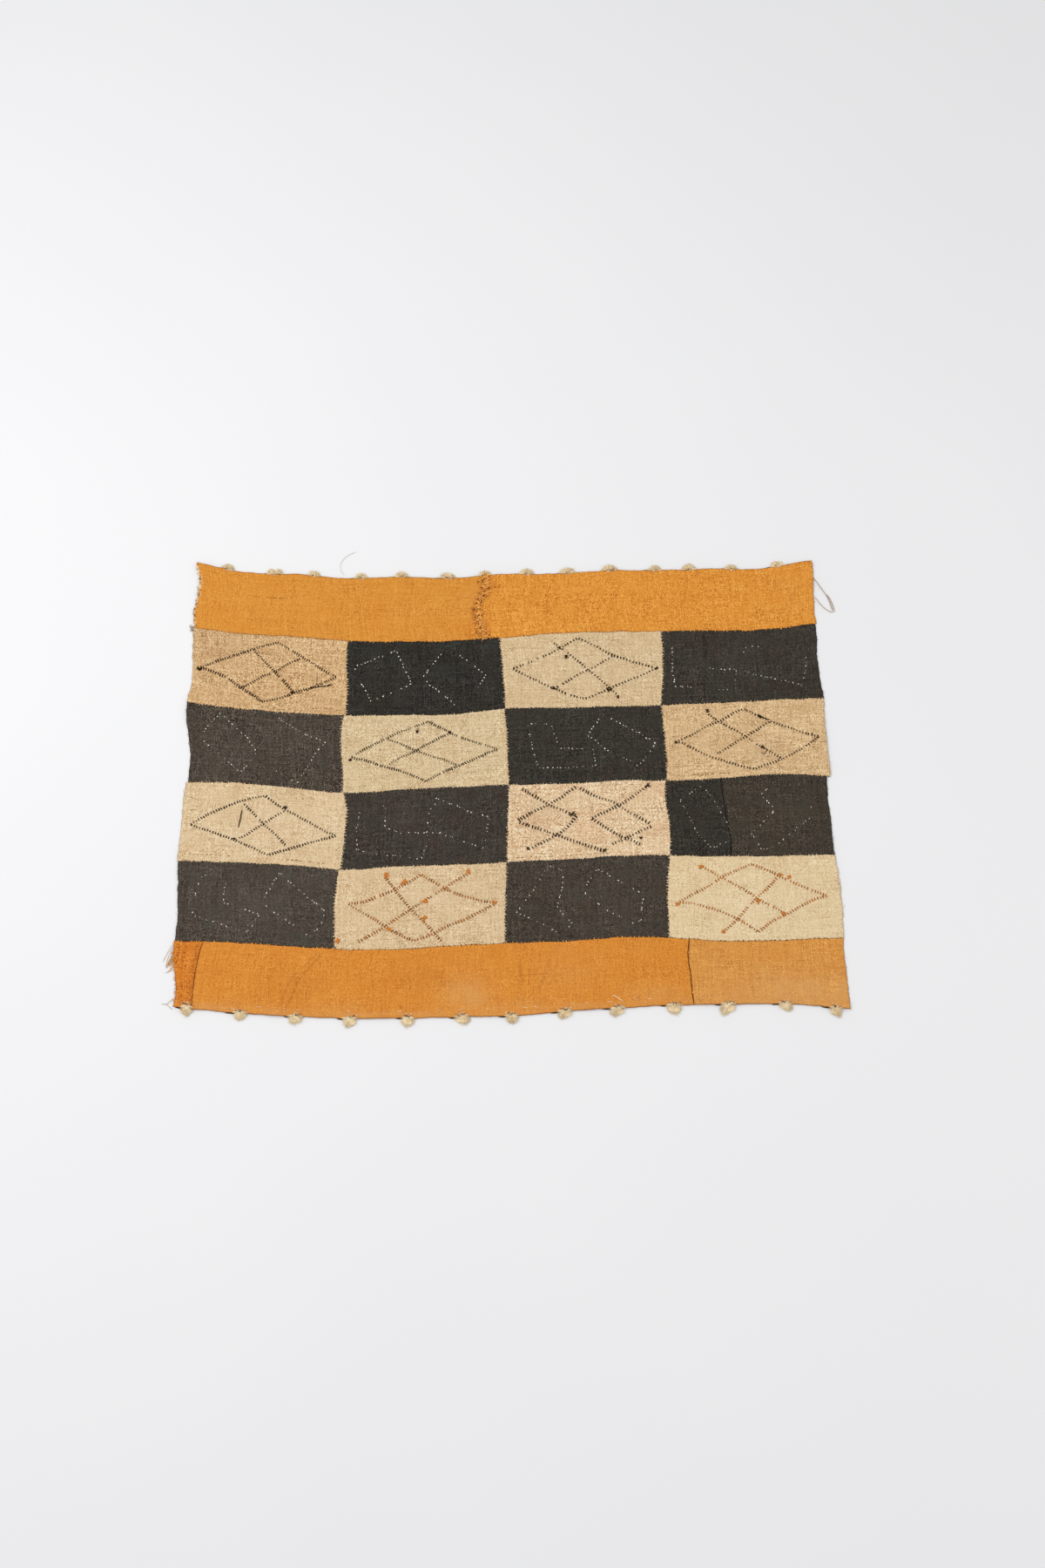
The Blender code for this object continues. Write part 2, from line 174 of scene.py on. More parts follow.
# x along the hem, width, depth, stand-off beyond the hem edge, height
FAR_TUFTS = [
    (-551, 24, 19, 4.0, 8.0), (-457, 36, 19, 3.5, 8.0), (-389, 24, 18, 3.5, 7.5),
    (-301, 23, 17, 4.5, 7.5), (-225, 24, 20, 3.0, 8.0), (-140, 28, 19, 3.5, 8.0),
    (-70, 25, 18, 3.5, 7.5), (8, 26, 20, 3.5, 8.0), (84, 30, 21, 3.0, 8.5),
    (163, 29, 20, 5.0, 8.5), (247, 22, 18, 4.5, 7.5), (311, 25, 21, 4.0, 9.0),
    (389, 22, 15, 3.5, 6.5), (476, 25, 15, 4.5, 6.5),
]
NEAR_TUFTS = [
    (-570, 25, 18, 3.5, 8.0), (-479, 27, 18, 3.5, 8.5), (-384, 28, 19, 4.0, 8.5),
    (-292, 29, 20, 5.0, 9.0), (-194, 27, 20, 5.0, 8.5), (-103, 29, 19, 4.5, 8.5),
    (-18, 27, 18, 4.5, 8.5), (73, 28, 18, 3.5, 8.5), (162, 28, 19, 4.0, 8.5),
    (257, 31, 24, 4.5, 9.0), (350, 31, 26, 4.5, 9.0), (446, 25, 20, 2.5, 8.0),
    (531, 25, 21, 3.5, 8.5),
]

# ------------------------------------------------------------- stitch charts
# Places on a panel are shares of its width (from the left) and of its height
# (from the near edge).
# panel: left, far, right and near corner of the lozenge, ends of the falling
# cross line, ends of the rising one, bows of the four sides (far left, far
# right, near left, near right), thread
LOZENGES = {
    "panel_1_1": ((.05, .48), (.545, .91), (.93, .50), (.46, .11), (.39, .80), (.65, .27), (.30, .27), (.70, .71), (.03, 0, .06, -.02), "dark"),
    "panel_1_3": ((.06, .55), (.48, .92), (.96, .50), (.51, .11), (.31, .90), (.73, .13), (.31, .25), (.69, .67), (-.03, -.05, -.05, -.01), "dark"),
    "panel_2_2": ((.06, .46), (.535, .91), (.94, .47), (.50, .09), (.28, .68), (.69, .30), (.28, .34), (.66, .74), (.03, -.03, .03, .03), "dark"),
    "panel_2_4": ((.08, .51), (.50, .90), (.955, .50), (.54, .09), (.28, .86), (.71, .21), (.31, .32), (.66, .71), (0, -.04, -.04, -.06), "dark"),
    "panel_3_1": ((.055, .455), (.50, .86), (.95, .435), (.55, .11), (.37, .74), (.65, .25), (.34, .27), (.62, .69), (.05, -.04, .02, 0), "dark"),
    "panel_4_2": ((.08, .57), (.495, .89), (.95, .505), (.465, .09), (.28, .88), (.63, .06), (.14, .09), (.77, .88), (-.07, -.07, -.02, -.03), "rust"),
    "panel_4_4": ((.065, .435), (.50, .905), (.92, .50), (.51, .105), (.20, .88), (.67, .31), (.31, .10), (.64, .74), (.03, 0, .09, .05), "rust"),
}
# the panel that is worked in open chevrons instead
CHEVRONS = [
    ((.08, .95), (.27, .72), (.43, .57)),
    ((.06, .53), (.30, .77), (.43, .95)),
    ((.45, .93), (.70, .66), (.88, .42)),
    ((.43, .57), (.36, .38), (.13, .14)),
    ((.07, .51), (.30, .33), (.60, .07)),
    ((.90, .94), (.71, .66), (.52, .52)),
    ((.52, .52), (.66, .30), (.82, .14)),
    ((.64, .15), (.76, .26), (.89, .38)),
]
# thread knots and doubled places: panel, share across, share along, size mm
KNOTS = [
    ("panel_1_1", .04, .46, 6), ("panel_1_1", .65, .26, 5),
    ("panel_1_3", .40, .68, 6), ("panel_1_3", .31, .26, 5), ("panel_1_3", .66, .22, 6),
    ("panel_1_3", .72, .13, 4), ("panel_1_3", .96, .50, 3), ("panel_1_3", .36, .80, 4),
    ("panel_2_2", .46, .77, 3), ("panel_2_2", .66, .75, 4), ("panel_2_2", .05, .42, 4),
    ("panel_2_4", .28, .90, 5), ("panel_2_4", .07, .50, 4),
    ("panel_2_4", .60, .78, 5), ("panel_2_4", .60, .37, 5), ("panel_3_1", .62, .73, 5),
    ("panel_3_1", .33, .29, 4), ("panel_3_3", .40, .59, 7), ("panel_3_3", .89, .93, 6),
    ("panel_3_3", .60, .08, 5), ("panel_3_3", .13, .16, 5), ("panel_3_3", .82, .23, 4),
    ("panel_4_2", .29, .90, 7), ("panel_4_2", .40, .81, 8), ("panel_4_2", .53, .57, 7),
    ("panel_4_2", .53, .36, 7), ("panel_4_2", .32, .24, 5), ("panel_4_2", .94, .51, 5),
    ("panel_4_2", .77, .91, 6), ("panel_4_2", .02, .10, 6), ("panel_4_4", .19, .87, 6),
    ("panel_4_4", .06, .41, 5), ("panel_4_4", .66, .77, 5), ("panel_4_4", .71, .74, 5),
    ("panel_4_4", .52, .47, 6), ("panel_4_4", .66, .31, 6), ("panel_4_4", .31, .11, 5),
]
# pale running stitches on the black panels: panel, closed?, corners
RUNNINGS = [
    ("panel_1_2", True, ((.05, .65), (.32, .87), (.41, .43), (.38, .38), (.15, .19), (.09, .43))),
    ("panel_1_2", False, ((.61, .83), (.48, .48), (.58, .32), (.69, .12))),
    ("panel_1_2", False, ((.72, .81), (.89, .50), (.83, .31))),
    ("panel_1_4", False, ((.06, .79), (.06, .43), (.08, .25), (.20, .22))),
    ("panel_1_4", False, ((.35, .18), (.46, .17), (.47, .45), (.28, .47))),
    ("panel_1_4", False, ((.49, .47), (.57, .38), (.88, .19), (.91, .36), (.93, .57))),
    ("panel_1_4", False, ((.51, .61), (.54, .77), (.65, .75))),
    ("panel_2_1", True, ((.22, .92), (.08, .59), (.09, .54), (.33, .14), (.44, .42), (.39, .61))),
    ("panel_2_1", False, ((.58, .93), (.75, .73), (.90, .64), (.81, .43), (.71, .08), (.68, .08), (.56, .20))),
    ("panel_2_3", True, ((.14, .79), (.25, .79), (.29, .75), (.33, .46), (.54, .44), (.55, .21), (.19, .21), (.15, .54))),
    ("panel_2_3", True, ((.62, .89), (.51, .63), (.68, .32), (.74, .29), (.82, .18), (.94, .49), (.85, .62))),
    ("panel_3_2", False, ((.08, .77), (.07, .53), (.08, .26), (.19, .17), (.48, .09), (.52, .32), (.50, .42))),
    ("panel_3_2", False, ((.19, .85), (.24, .78), (.24, .51), (.34, .43), (.50, .42))),
    ("panel_3_2", True, ((.50, .42), (.51, .69), (.56, .86), (.78, .66), (.88, .59), (.87, .27), (.85, .20), (.58, .41))),
    ("panel_3_4", True, ((.22, .92), (.29, .75), (.37, .35), (.36, .19), (.25, .10), (.16, .32), (.09, .73))),
    ("panel_3_4", False, ((.68, .92), (.59, .76), (.66, .56), (.50, .28), (.56, .08), (.63, .10), (.90, .50), (.88, .63))),
    ("panel_4_1", False, ((.19, .84), (.13, .78), (.09, .35), (.12, .30), (.45, .13), (.52, .36))),
    ("panel_4_1", False, ((.30, .77), (.29, .49), (.52, .36))),
    ("panel_4_1", True, ((.64, .90), (.54, .51), (.67, .34), (.84, .14), (.92, .29), (.94, .47), (.69, .81))),
    ("panel_4_3", True, ((.25, .93), (.19, .70), (.07, .37), (.21, .24), (.34, .09), (.41, .21), (.32, .42), (.35, .71), (.35, .86), (.30, .90))),
    ("panel_4_3", True, ((.56, .85), (.85, .52), (.83, .21), (.78, .17), (.62, .34), (.47, .60), (.53, .77))),
]

rng = np.random.RandomState(4107)


# ------------------------------------------------------------ even noise
def lattice(ix, iy, seed):
    n = (ix.astype(np.int64) * 374761393 + iy.astype(np.int64) * 668265263
         + int(seed) * 1442695041) & 0xFFFFFFFF
    n = ((n ^ (n >> 13)) * 1274126177) & 0xFFFFFFFF
    return ((n ^ (n >> 16)) & 0xFFFF) / 65535.0 * 2 - 1


def noise(x, y, size, seed=0):
    """Smooth noise from -1 to 1; size is the width of one bump in mm."""
    x = np.asarray(x, float) / size
    y = np.asarray(y, float) / size
    x, y = np.broadcast_arrays(x, y)
    ix, iy = np.floor(x), np.floor(y)
    fx, fy = x - ix, y - iy
    fx, fy = fx * fx * (3 - 2 * fx), fy * fy * (3 - 2 * fy)
    a = lattice(ix, iy, seed) * (1 - fx) + lattice(ix + 1, iy, seed) * fx
    b = lattice(ix, iy + 1, seed) * (1 - fx) + lattice(ix + 1, iy + 1, seed) * fx
    return a * (1 - fy) + b * fy


def layers(x, y, size, count=3, seed=0):
    total, gain, norm = 0.0, 1.0, 0.0
    for k in range(count):
        total = total + gain * noise(x, y, size / 2 ** k, seed + 17 * k)
        norm += gain
        gain *= 0.5
    return total / norm


def name_seed(text):
    return sum((i + 1) * ord(c) for i, c in enumerate(text)) % 9973


# ---------------------------------------------------------- cloth surface
def spline(values, t):
    v = np.asarray(values, float)
    last = len(v) - 1
    t = np.clip(t, 0.0, 1.0) * last
    i = np.minimum(t.astype(int), last - 1)
    f = t - i
    w = np.concatenate([[2 * v[0] - v[1]], v, [2 * v[-1] - v[-2]]])
    p0, p1, p2, p3 = w[i], w[i + 1], w[i + 2], w[i + 3]
    return 0.5 * (2 * p1 + (p2 - p0) * f + (2 * p0 - 5 * p1 + 4 * p2 - p3) * f * f
                  + (3 * p1 - p0 - 3 * p2 + p3) * f ** 3)


def line_y(name, x):
    left, right, ys = LINES_ACROSS[name]
    y = spline(ys, (x - left) / (right - left))
    seed = name_seed(name)
    return y + 0.75 * noise(x, 0, 23, seed) + 0.45 * noise(x, 0, 8, seed + 3)


def line_x(name, v):
    """v is the share of the row's height, from its near edge."""
    x = spline(LINES_ALONG[name], 1 - v)
    seed = name_seed(name)
    rough = 0.75 if name in FREE_EDGES else 0.35
    return x + 0.7 * noise(v * 140, 0, 21, seed) + rough * noise(v * 140, 0, 6, seed + 3)


def place(piece, u, v):
    far, near, left, right = PIECES_WHOLE[piece][:4]
    u, v = np.broadcast_arrays(np.asarray(u, float), np.asarray(v, float))
    xl, xr = line_x(left, v), line_x(right, v)
    x = xl + (xr - xl) * u
    yn, yf = line_y(near, x), line_y(far, x)
    return x, yn + (yf - yn) * v


def smooth_step(t):
    t = np.clip(t, 0.0, 1.0)
    return t * t * (3 - 2 * t)


def away_from(x, y, x0, y0, x1, y1):
    dx, dy = x1 - x0, y1 - y0
    t = np.clip(((x - x0) * dx + (y - y0) * dy) / (dx * dx + dy * dy), 0.0, 1.0)
    return np.hypot(x - x0 - t * dx, y - y0 - t * dy), t


def lie(x, y, from_seam):
    """Height of the underside above the ground, in mm."""
    near_seam = smooth_step(1 - from_seam / FLAT_MARGIN)
    wave = (np.sin(x / 31.0 + 1.3 * np.sin(y / 67.0))
            * np.cos(y / 43.0 + 0.9 * np.sin(x / 59.0)))
    h = PUCKER * np.maximum(0.0, wave) * near_seam
    for x0, y0, x1, y1, height, half in FOLDS.values():
        away, _ = away_from(x, y, x0, y0, x1, y1)
        h = np.maximum(h, height * smooth_step(1 - away / (2 * half)))
    h = h + 0.35 * (1 + layers(x, y, 55, 3, 5)) * smooth_step(1.2 - from_seam / 70)
    for x0, y0, xm, ym, x1, y1, height, half in CREASES:
        a1, t1 = away_from(x, y, x0, y0, xm, ym)
        a2, t2 = away_from(x, y, xm, ym, x1, y1)
        away = np.minimum(a1, a2)
        along = np.where(a1 < a2, t1 / 2, 0.5 + t2 / 2)
        taper = smooth_step(np.minimum(along, 1 - along) * 6 + 0.35)
        h = h + height * taper * smooth_step(1 - away / (2 * half))
    return np.maximum(h, 0.0)


def from_edges(piece, u, v):
    far, near, left, right = PIECES_WHOLE[piece][:4]
    x, y = place(piece, u, v)
    xl, xr = line_x(left, v), line_x(right, v)
    yn, yf = line_y(near, x), line_y(far, x)
    return x, y, x - xl, xr - x, y - yn, yf - y


def surfaces(piece, u, v):
    """Underside and upper side of a piece at its shares u and v, in mm."""
    hem = PIECES_WHOLE[piece][5]
    x, y, dl, dr, dn, df = from_edges(piece, np.asarray(u, float), np.asarray(v, float))
    edge = np.minimum(np.minimum(dl, dr), np.minimum(dn, df))
    h = lie(x, y, edge)
    thick = np.full_like(x, SHEET)
    if hem:
        d = df if hem == "far" else dn
        thick = thick + (HEM_THICK - SHEET) * smooth_step((HEM_WIDTH - d) / 1.6 + 0.5)
        # the turned hem is drawn down by its running thread
        thick = thick - 0.30 * np.exp(-((d - HEM_WIDTH + 1.0) / 1.3) ** 2)
    # seam allowance underneath, and the valley that the seam draws in
    thick = thick + 0.35 * smooth_step((8.0 - edge) / 4.0) * (0.75 + 0.25 * noise(x, y, 9, 31))
    thick = thick - 0.75 * smooth_step(1 - edge / 2.2)
    # slubs and uneven beating of the weave
    thick = thick + 0.10 * noise(x * 3.0, y * 0.35, 6, 41) + 0.10 * noise(x * 0.35, y * 3.0, 6, 43)
    thick = thick + 0.10 * layers(x, y, 14, 2, 47)
    return x, y, h, h + np.maximum(thick, 0.35), edge


def top_at(piece, u, v):
    x, y, _, z, _ = surfaces(piece, u, v)
    return np.stack([(x + SHIFT_X) * MM, (y + SHIFT_Y) * MM, z * MM], -1)


# ------------------------------------------------------------ mesh helpers
def mesh_object(name, verts, quads, material, shade=None, tris=None, smooth=True):
    mesh = bpy.data.meshes.new(name)
    verts = np.asarray(verts, np.float32).reshape(-1, 3)
    quads = np.asarray(quads, np.int32).reshape(-1, 4)
    loops = quads.ravel()
    starts = np.arange(len(quads)) * 4
    totals = np.full(len(quads), 4)
    if tris is not None and len(tris):
        tris = np.asarray(tris, np.int32).reshape(-1, 3)
        starts = np.concatenate([starts, len(loops) + np.arange(len(tris)) * 3])
        totals = np.concatenate([totals, np.full(len(tris), 3)])
        loops = np.concatenate([loops, tris.ravel()])
    mesh.vertices.add(len(verts))
    mesh.vertices.foreach_set("co", verts.ravel())
    mesh.loops.add(len(loops))
    mesh.loops.foreach_set("vertex_index", loops.astype(np.int32))
    mesh.polygons.add(len(starts))
    mesh.polygons.foreach_set("loop_start", starts.astype(np.int32))
    mesh.polygons.foreach_set("loop_total", totals.astype(np.int32))
    mesh.update(calc_edges=True)
    mesh.validate()
    mesh.polygons.foreach_set("use_smooth", np.full(len(mesh.polygons), smooth))
    if shade is not None:
        attr = mesh.attributes.new("shade", 'FLOAT', 'POINT')
        attr.data.foreach_set("value", np.asarray(shade, np.float32).ravel())
    mesh.materials.append(material)
    obj = bpy.data.objects.new(name, mesh)
    bpy.context.scene.collection.objects.link(obj)
    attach(obj, "root")
    return obj


def tubes(paths, radii, ref, sides=4, flat=1.0, shade=None):
    """Closed tubes along paths (n, k, 3); radii (n, k); ref (n, 3) is a
    direction that no path runs along."""
    n, k, _ = paths.shape
    tangent = np.gradient(paths, axis=1)
    tangent /= np.linalg.norm(tangent, axis=2, keepdims=True) + 1e-12
    side = np.cross(tangent, ref[:, None, :])
    side /= np.linalg.norm(side, axis=2, keepdims=True) + 1e-12
    up = np.cross(side, tangent)
    ang = np.arange(sides) * 2 * np.pi / sides + np.pi / sides
    ring = (paths[:, :, None, :]
            + radii[:, :, None, None] * (np.cos(ang)[None, None, :, None] * side[:, :, None, :]
                                         + flat * np.sin(ang)[None, None, :, None] * up[:, :, None, :]))
    verts = ring.reshape(-1, 3)
    base = (np.arange(n) * k * sides)[:, None, None]
    i = (np.arange(k - 1) * sides)[None, :, None]
    j = np.arange(sides)[None, None, :]
    j2 = (np.arange(sides) + 1) % sides
    j2 = j2[None, None, :]
    quads = np.stack([base + i + j, base + i + j2, base + i + sides + j2, base + i + sides + j], -1).reshape(-1, 4)
    tris = []
    for s in range(1, sides - 1):
        b = np.arange(n) * k * sides
        tris.append(np.stack([b, b + s + 1, b + s], -1))
        e = b + (k - 1) * sides
        tris.append(np.stack([e, e + s, e + s + 1], -1))
    tris = np.concatenate(tris) if tris else np.zeros((0, 3), int)
    shades = None if shade is None else np.repeat(np.asarray(shade, float), k * sides)
    return verts, quads, tris, shades


class Bundle:
    """Gathers many tubes into one mesh."""

    def __init__(self):
        self.v, self.q, self.t, self.s, self.n = [], [], [], [], 0

    def add(self, paths, radii, ref, shade, sides=4, flat=1.0):
        paths = np.asarray(paths, float)
        n, k, _ = paths.shape
        radii = np.broadcast_to(np.asarray(radii, float), (n, k)) if np.ndim(radii) != 1 else np.repeat(np.asarray(radii, float)[:, None], k, 1)
        ref = np.broadcast_to(np.asarray(ref, float), (n, 3))
        shade = np.broadcast_to(np.asarray(shade, float), (n,))
        v, q, t, s = tubes(paths, radii, ref, sides, flat, shade)
        self.v.append(v)
        self.q.append(q + self.n)
        self.t.append(t + self.n)
        self.s.append(s)
        self.n += len(v)

    def lump(self, centre, size, seed, shade, rings=7, segs=12, floor=None):
        """A rounded, lumpy closed core."""
        th = np.linspace(0, np.pi, rings + 1)[1:-1]
        ph = np.arange(segs) * 2 * np.pi / segs
        T, P = np.meshgrid(th, ph, indexing="ij")
        d = np.stack([np.sin(T) * np.cos(P), np.sin(T) * np.sin(P), np.cos(T)], -1)
        r = 1 + 0.18 * noise(P * 3 + T * 5, T * 7, 1.0, seed)
        body = d * r[..., None] * np.asarray(size) + np.asarray(centre)
        top = np.asarray(centre) + np.array([0, 0, size[2]])
        bottom = np.asarray(centre) - np.array([0, 0, size[2]])
        v = np.concatenate([body.reshape(-1, 3), [top], [bottom]])
        if floor is not None:
            v[:, 2] = np.maximum(v[:, 2], floor)
        q, t = [], []
        rows = rings - 1
        for i in range(rows - 1):
            for j in range(segs):
                j2 = (j + 1) % segs
                q.append([i * segs + j, (i + 1) * segs + j, (i + 1) * segs + j2, i * segs + j2])
        for j in range(segs):
            j2 = (j + 1) % segs
            t.append([rows * segs, j, j2])
            t.append([rows * segs + 1, (rows - 1) * segs + j2, (rows - 1) * segs + j])
        self.v.append(v)
        self.q.append(np.array(q) + self.n)
        self.t.append(np.array(t) + self.n)
        self.s.append(np.full(len(v), shade))
        self.n += len(v)

    def make(self, name, material, slot):
        return mesh_object(name, np.concatenate(self.v), np.concatenate(self.q), material,
                           np.concatenate(self.s), np.concatenate(self.t))


# --------------------------------------------------------------- materials
def srgb(r, g, b):
    out = []
    for c in (r, g, b):
        c /= 255.0
        out.append(c / 12.92 if c <= 0.04045 else ((c + 0.055) / 1.055) ** 2.4)
    return (*out, 1.0)


class Nodes:
    """Short calls for building a node tree."""

    def __init__(self, name):
        self.mat = bpy.data.materials.new(name)
        self.mat.use_nodes = True
        self.tree = self.mat.node_tree
        self.shader = self.tree.nodes["Principled BSDF"]

    def link(self, a, b):
        self.tree.links.new(a, b)

    def put(self, socket, value):
        if isinstance(value, bpy.types.NodeSocket):
            self.link(value, socket)
        else:
            socket.default_value = value

    def math(self, op, a, b=0.0, c=None, clamp=False):
        n = self.tree.nodes.new("ShaderNodeMath")
        n.operation = op
        n.use_clamp = clamp
        self.put(n.inputs[0], a)
        self.put(n.inputs[1], b)
        if c is not None:
            self.put(n.inputs[2], c)
        return n.outputs[0]

    def attribute(self, name):
        n = self.tree.nodes.new("ShaderNodeAttribute")
        n.attribute_type = 'GEOMETRY'
        n.attribute_name = name
        return n

    def split(self, vector):
        n = self.tree.nodes.new("ShaderNodeSeparateXYZ")
        self.link(vector, n.inputs[0])
        return n.outputs

    def combine(self, x, y, z=0.0):
        n = self.tree.nodes.new("ShaderNodeCombineXYZ")
        self.put(n.inputs[0], x)
        self.put(n.inputs[1], y)
        self.put(n.inputs[2], z)
        return n.outputs[0]

    def noise(self, vector, scale=1.0, detail=2.0, rough=0.5):
        n = self.tree.nodes.new("ShaderNodeTexNoise")
        n.noise_dimensions = '3D'
        self.link(vector, n.inputs["Vector"])
        n.inputs["Scale"].default_value = scale
        n.inputs["Detail"].default_value = detail
        n.inputs["Roughness"].default_value = rough
        return n.outputs["Fac"] if "Fac" in n.outputs else n.outputs[0]

    def white(self, w):
        n = self.tree.nodes.new("ShaderNodeTexWhiteNoise")
        n.noise_dimensions = '1D'
        self.put(n.inputs["W"], w)
        return n.outputs["Value"]

    def cell(self, vector):
        n = self.tree.nodes.new("ShaderNodeTexWhiteNoise")
        n.noise_dimensions = '3D'
        self.link(vector, n.inputs["Vector"])
        return n.outputs["Value"]

    def lift(self, noisy, gain, value):
        """value + gain * (noisy - 0.5)"""
        return self.math('MULTIPLY_ADD', self.math('SUBTRACT', noisy, 0.5), gain, value)

    def ramp(self, value, lo, hi, out_lo=0.0, out_hi=1.0, smooth=True):
        n = self.tree.nodes.new("ShaderNodeMapRange")
        n.interpolation_type = 'SMOOTHSTEP' if smooth else 'LINEAR'
        self.put(n.inputs[0], value)
        n.inputs[1].default_value = lo
        n.inputs[2].default_value = hi
        n.inputs[3].default_value = out_lo
        n.inputs[4].default_value = out_hi
        return n.outputs[0]

    def mix(self, factor, a, b, mode='MIX'):
        n = self.tree.nodes.new("ShaderNodeMix")
        n.data_type = 'RGBA'
        n.blend_type = mode
        self.put(n.inputs[0], factor)
        self.put(n.inputs[6], a)
        self.put(n.inputs[7], b)
        return n.outputs[2]

    def bump(self, height, distance, strength=1.0, normal=None):
        n = self.tree.nodes.new("ShaderNodeBump")
        n.inputs["Strength"].default_value = strength
        n.inputs["Distance"].default_value = distance
        self.put(n.inputs["Height"], height)
        if normal is not None:
            self.link(normal, n.inputs["Normal"])
        return n.outputs[0]


def raffia(name, light, mid, dark, tint, fade, cloud=None, flecks=0.5, pale=0.3, grain=1.0,
           pitch=1.65, streak_along=1.0, streak_across=1.0, mottle=1.0, seed=0, rough=0.82,
           edge=(70, 45, 25), sheen=0.05, gloss=0.2):
    """Plain-woven raffia.  light, mid and dark are the strand colours, tint
    the broad patches, cloud a second kind of them, fade the worn and
    sun-bleached places."""
    m = Nodes(name)
    co = m.split(m.attribute("weave").outputs["Vector"])
    s, t = co[0], co[1]
    tone = m.split(m.attribute("tone").outputs["Vector"])
    off = float(seed)

    # the threads wander a little, in long waves
    wander = m.noise(m.combine(m.math('ADD', s, off), t, off), 17.0, 1.0)
    s2 = m.math('ADD', s, m.math('MULTIPLY', wander, 0.0012))
    wander2 = m.noise(m.combine(t, m.math('ADD', s, off), off + 3.0), 15.0, 1.0)
    t2 = m.math('ADD', t, m.math('MULTIPLY', wander2, 0.0016))

    p = pitch * MM
    a = m.math('DIVIDE', s2, p)
    b = m.math('DIVIDE', t2, p * 1.06)
    ia, ib = m.math('FLOOR', a), m.math('FLOOR', b)
    fa, fb = m.math('SUBTRACT', a, ia), m.math('SUBTRACT', b, ib)
    over = m.math('FLOORED_MODULO', m.math('ADD', ia, ib), 2.0)
    pa = m.math('SINE', m.math('MULTIPLY', fa, math.pi))
    pb = m.math('SINE', m.math('MULTIPLY', fb, math.pi))
    up_warp = m.math('MULTIPLY', m.math('POWER', pa, 0.6), m.math('MULTIPLY_ADD', pb, 0.45, 0.55))
    up_weft = m.math('MULTIPLY', m.math('POWER', pb, 0.6), m.math('MULTIPLY_ADD', pa, 0.45, 0.55))
    weave = m.math('ADD', m.math('MULTIPLY', up_warp, over),
                   m.math('MULTIPLY', up_weft, m.math('SUBTRACT', 1.0, over)))
    strand_w = m.white(m.math('ADD', ia, off * 7.0))
    strand_f = m.white(m.math('ADD', ib, off * 13.0 + 5000.0))
    strand = m.math('ADD', m.math('MULTIPLY', strand_w, over),
                    m.math('MULTIPLY', strand_f, m.math('SUBTRACT', 1.0, over)))

    # streaks along the warp and the weft, grain, and broad patches
    along = m.noise(m.combine(m.math('MULTIPLY', s, 520.0), m.math('MULTIPLY', t, 26.0), off), 1.0, 3.0, 0.6)
    across = m.noise(m.combine(m.math('MULTIPLY', s, 30.0), m.math('MULTIPLY', t, 560.0), off + 9), 1.0, 3.0, 0.6)
    fine = m.noise(m.combine(m.math('MULTIPLY', s, 430.0), m.math('MULTIPLY', t, 430.0), off + 4), 1.0, 2.0, 0.7)
    patch = m.noise(m.combine(m.math('MULTIPLY', s, 17.0), m.math('MULTIPLY', t, 21.0), off + 2), 1.0, 4.0, 0.6)
    blot = m.noise(m.combine(m.math('MULTIPLY', s, 75.0), m.math('MULTIPLY', t, 90.0), off + 6), 1.0, 3.0, 0.65)
    # every float of a strand has its own tone, and so has each small group
    single = m.cell(m.combine(ia, ib, off))
    group = m.noise(m.combine(m.math('MULTIPLY', s, 290.0), m.math('MULTIPLY', t, 300.0), off + 14), 1.0, 1.0, 0.6)

    # some parts of a cloth are woven more evenly than others
    even = m.ramp(m.noise(m.combine(m.math('MULTIPLY', s, 22.0), m.math('MULTIPLY', t, 26.0), off + 55), 1.0, 2.0, 0.5),
                  0.34, 0.66, 0.70, 1.40)
    # each strand keeps its own tone for a few centimetres
    warp_tone = m.noise(m.combine(m.math('MULTIPLY', ia, 7.31), m.math('MULTIPLY', t, 34.0), off + 0.4), 1.0, 0.0)
    weft_tone = m.noise(m.combine(m.math('MULTIPLY', ib, 5.77), m.math('MULTIPLY', s, 30.0), off + 77.4), 1.0, 0.0)
    speck = m.lift(strand, 0.22 * grain, 0.5)
    speck = m.lift(warp_tone, 0.44 * grain * streak_along, speck)
    speck = m.lift(weft_tone, 0.46 * grain * streak_across, speck)
    speck = m.lift(single, 0.74 * grain, speck)
    speck = m.lift(group, 0.14 * grain, speck)
    speck = m.lift(fine, 1.0 * grain, speck)
    value = m.math('MULTIPLY_ADD', m.math('SUBTRACT', speck, 0.5), even, 0.5)
    value = m.lift(along, 0.36 * streak_along, value)
    value = m.lift(across, 0.34 * streak_across, value)
    value = m.lift(blot, 0.18 * mottle, value)

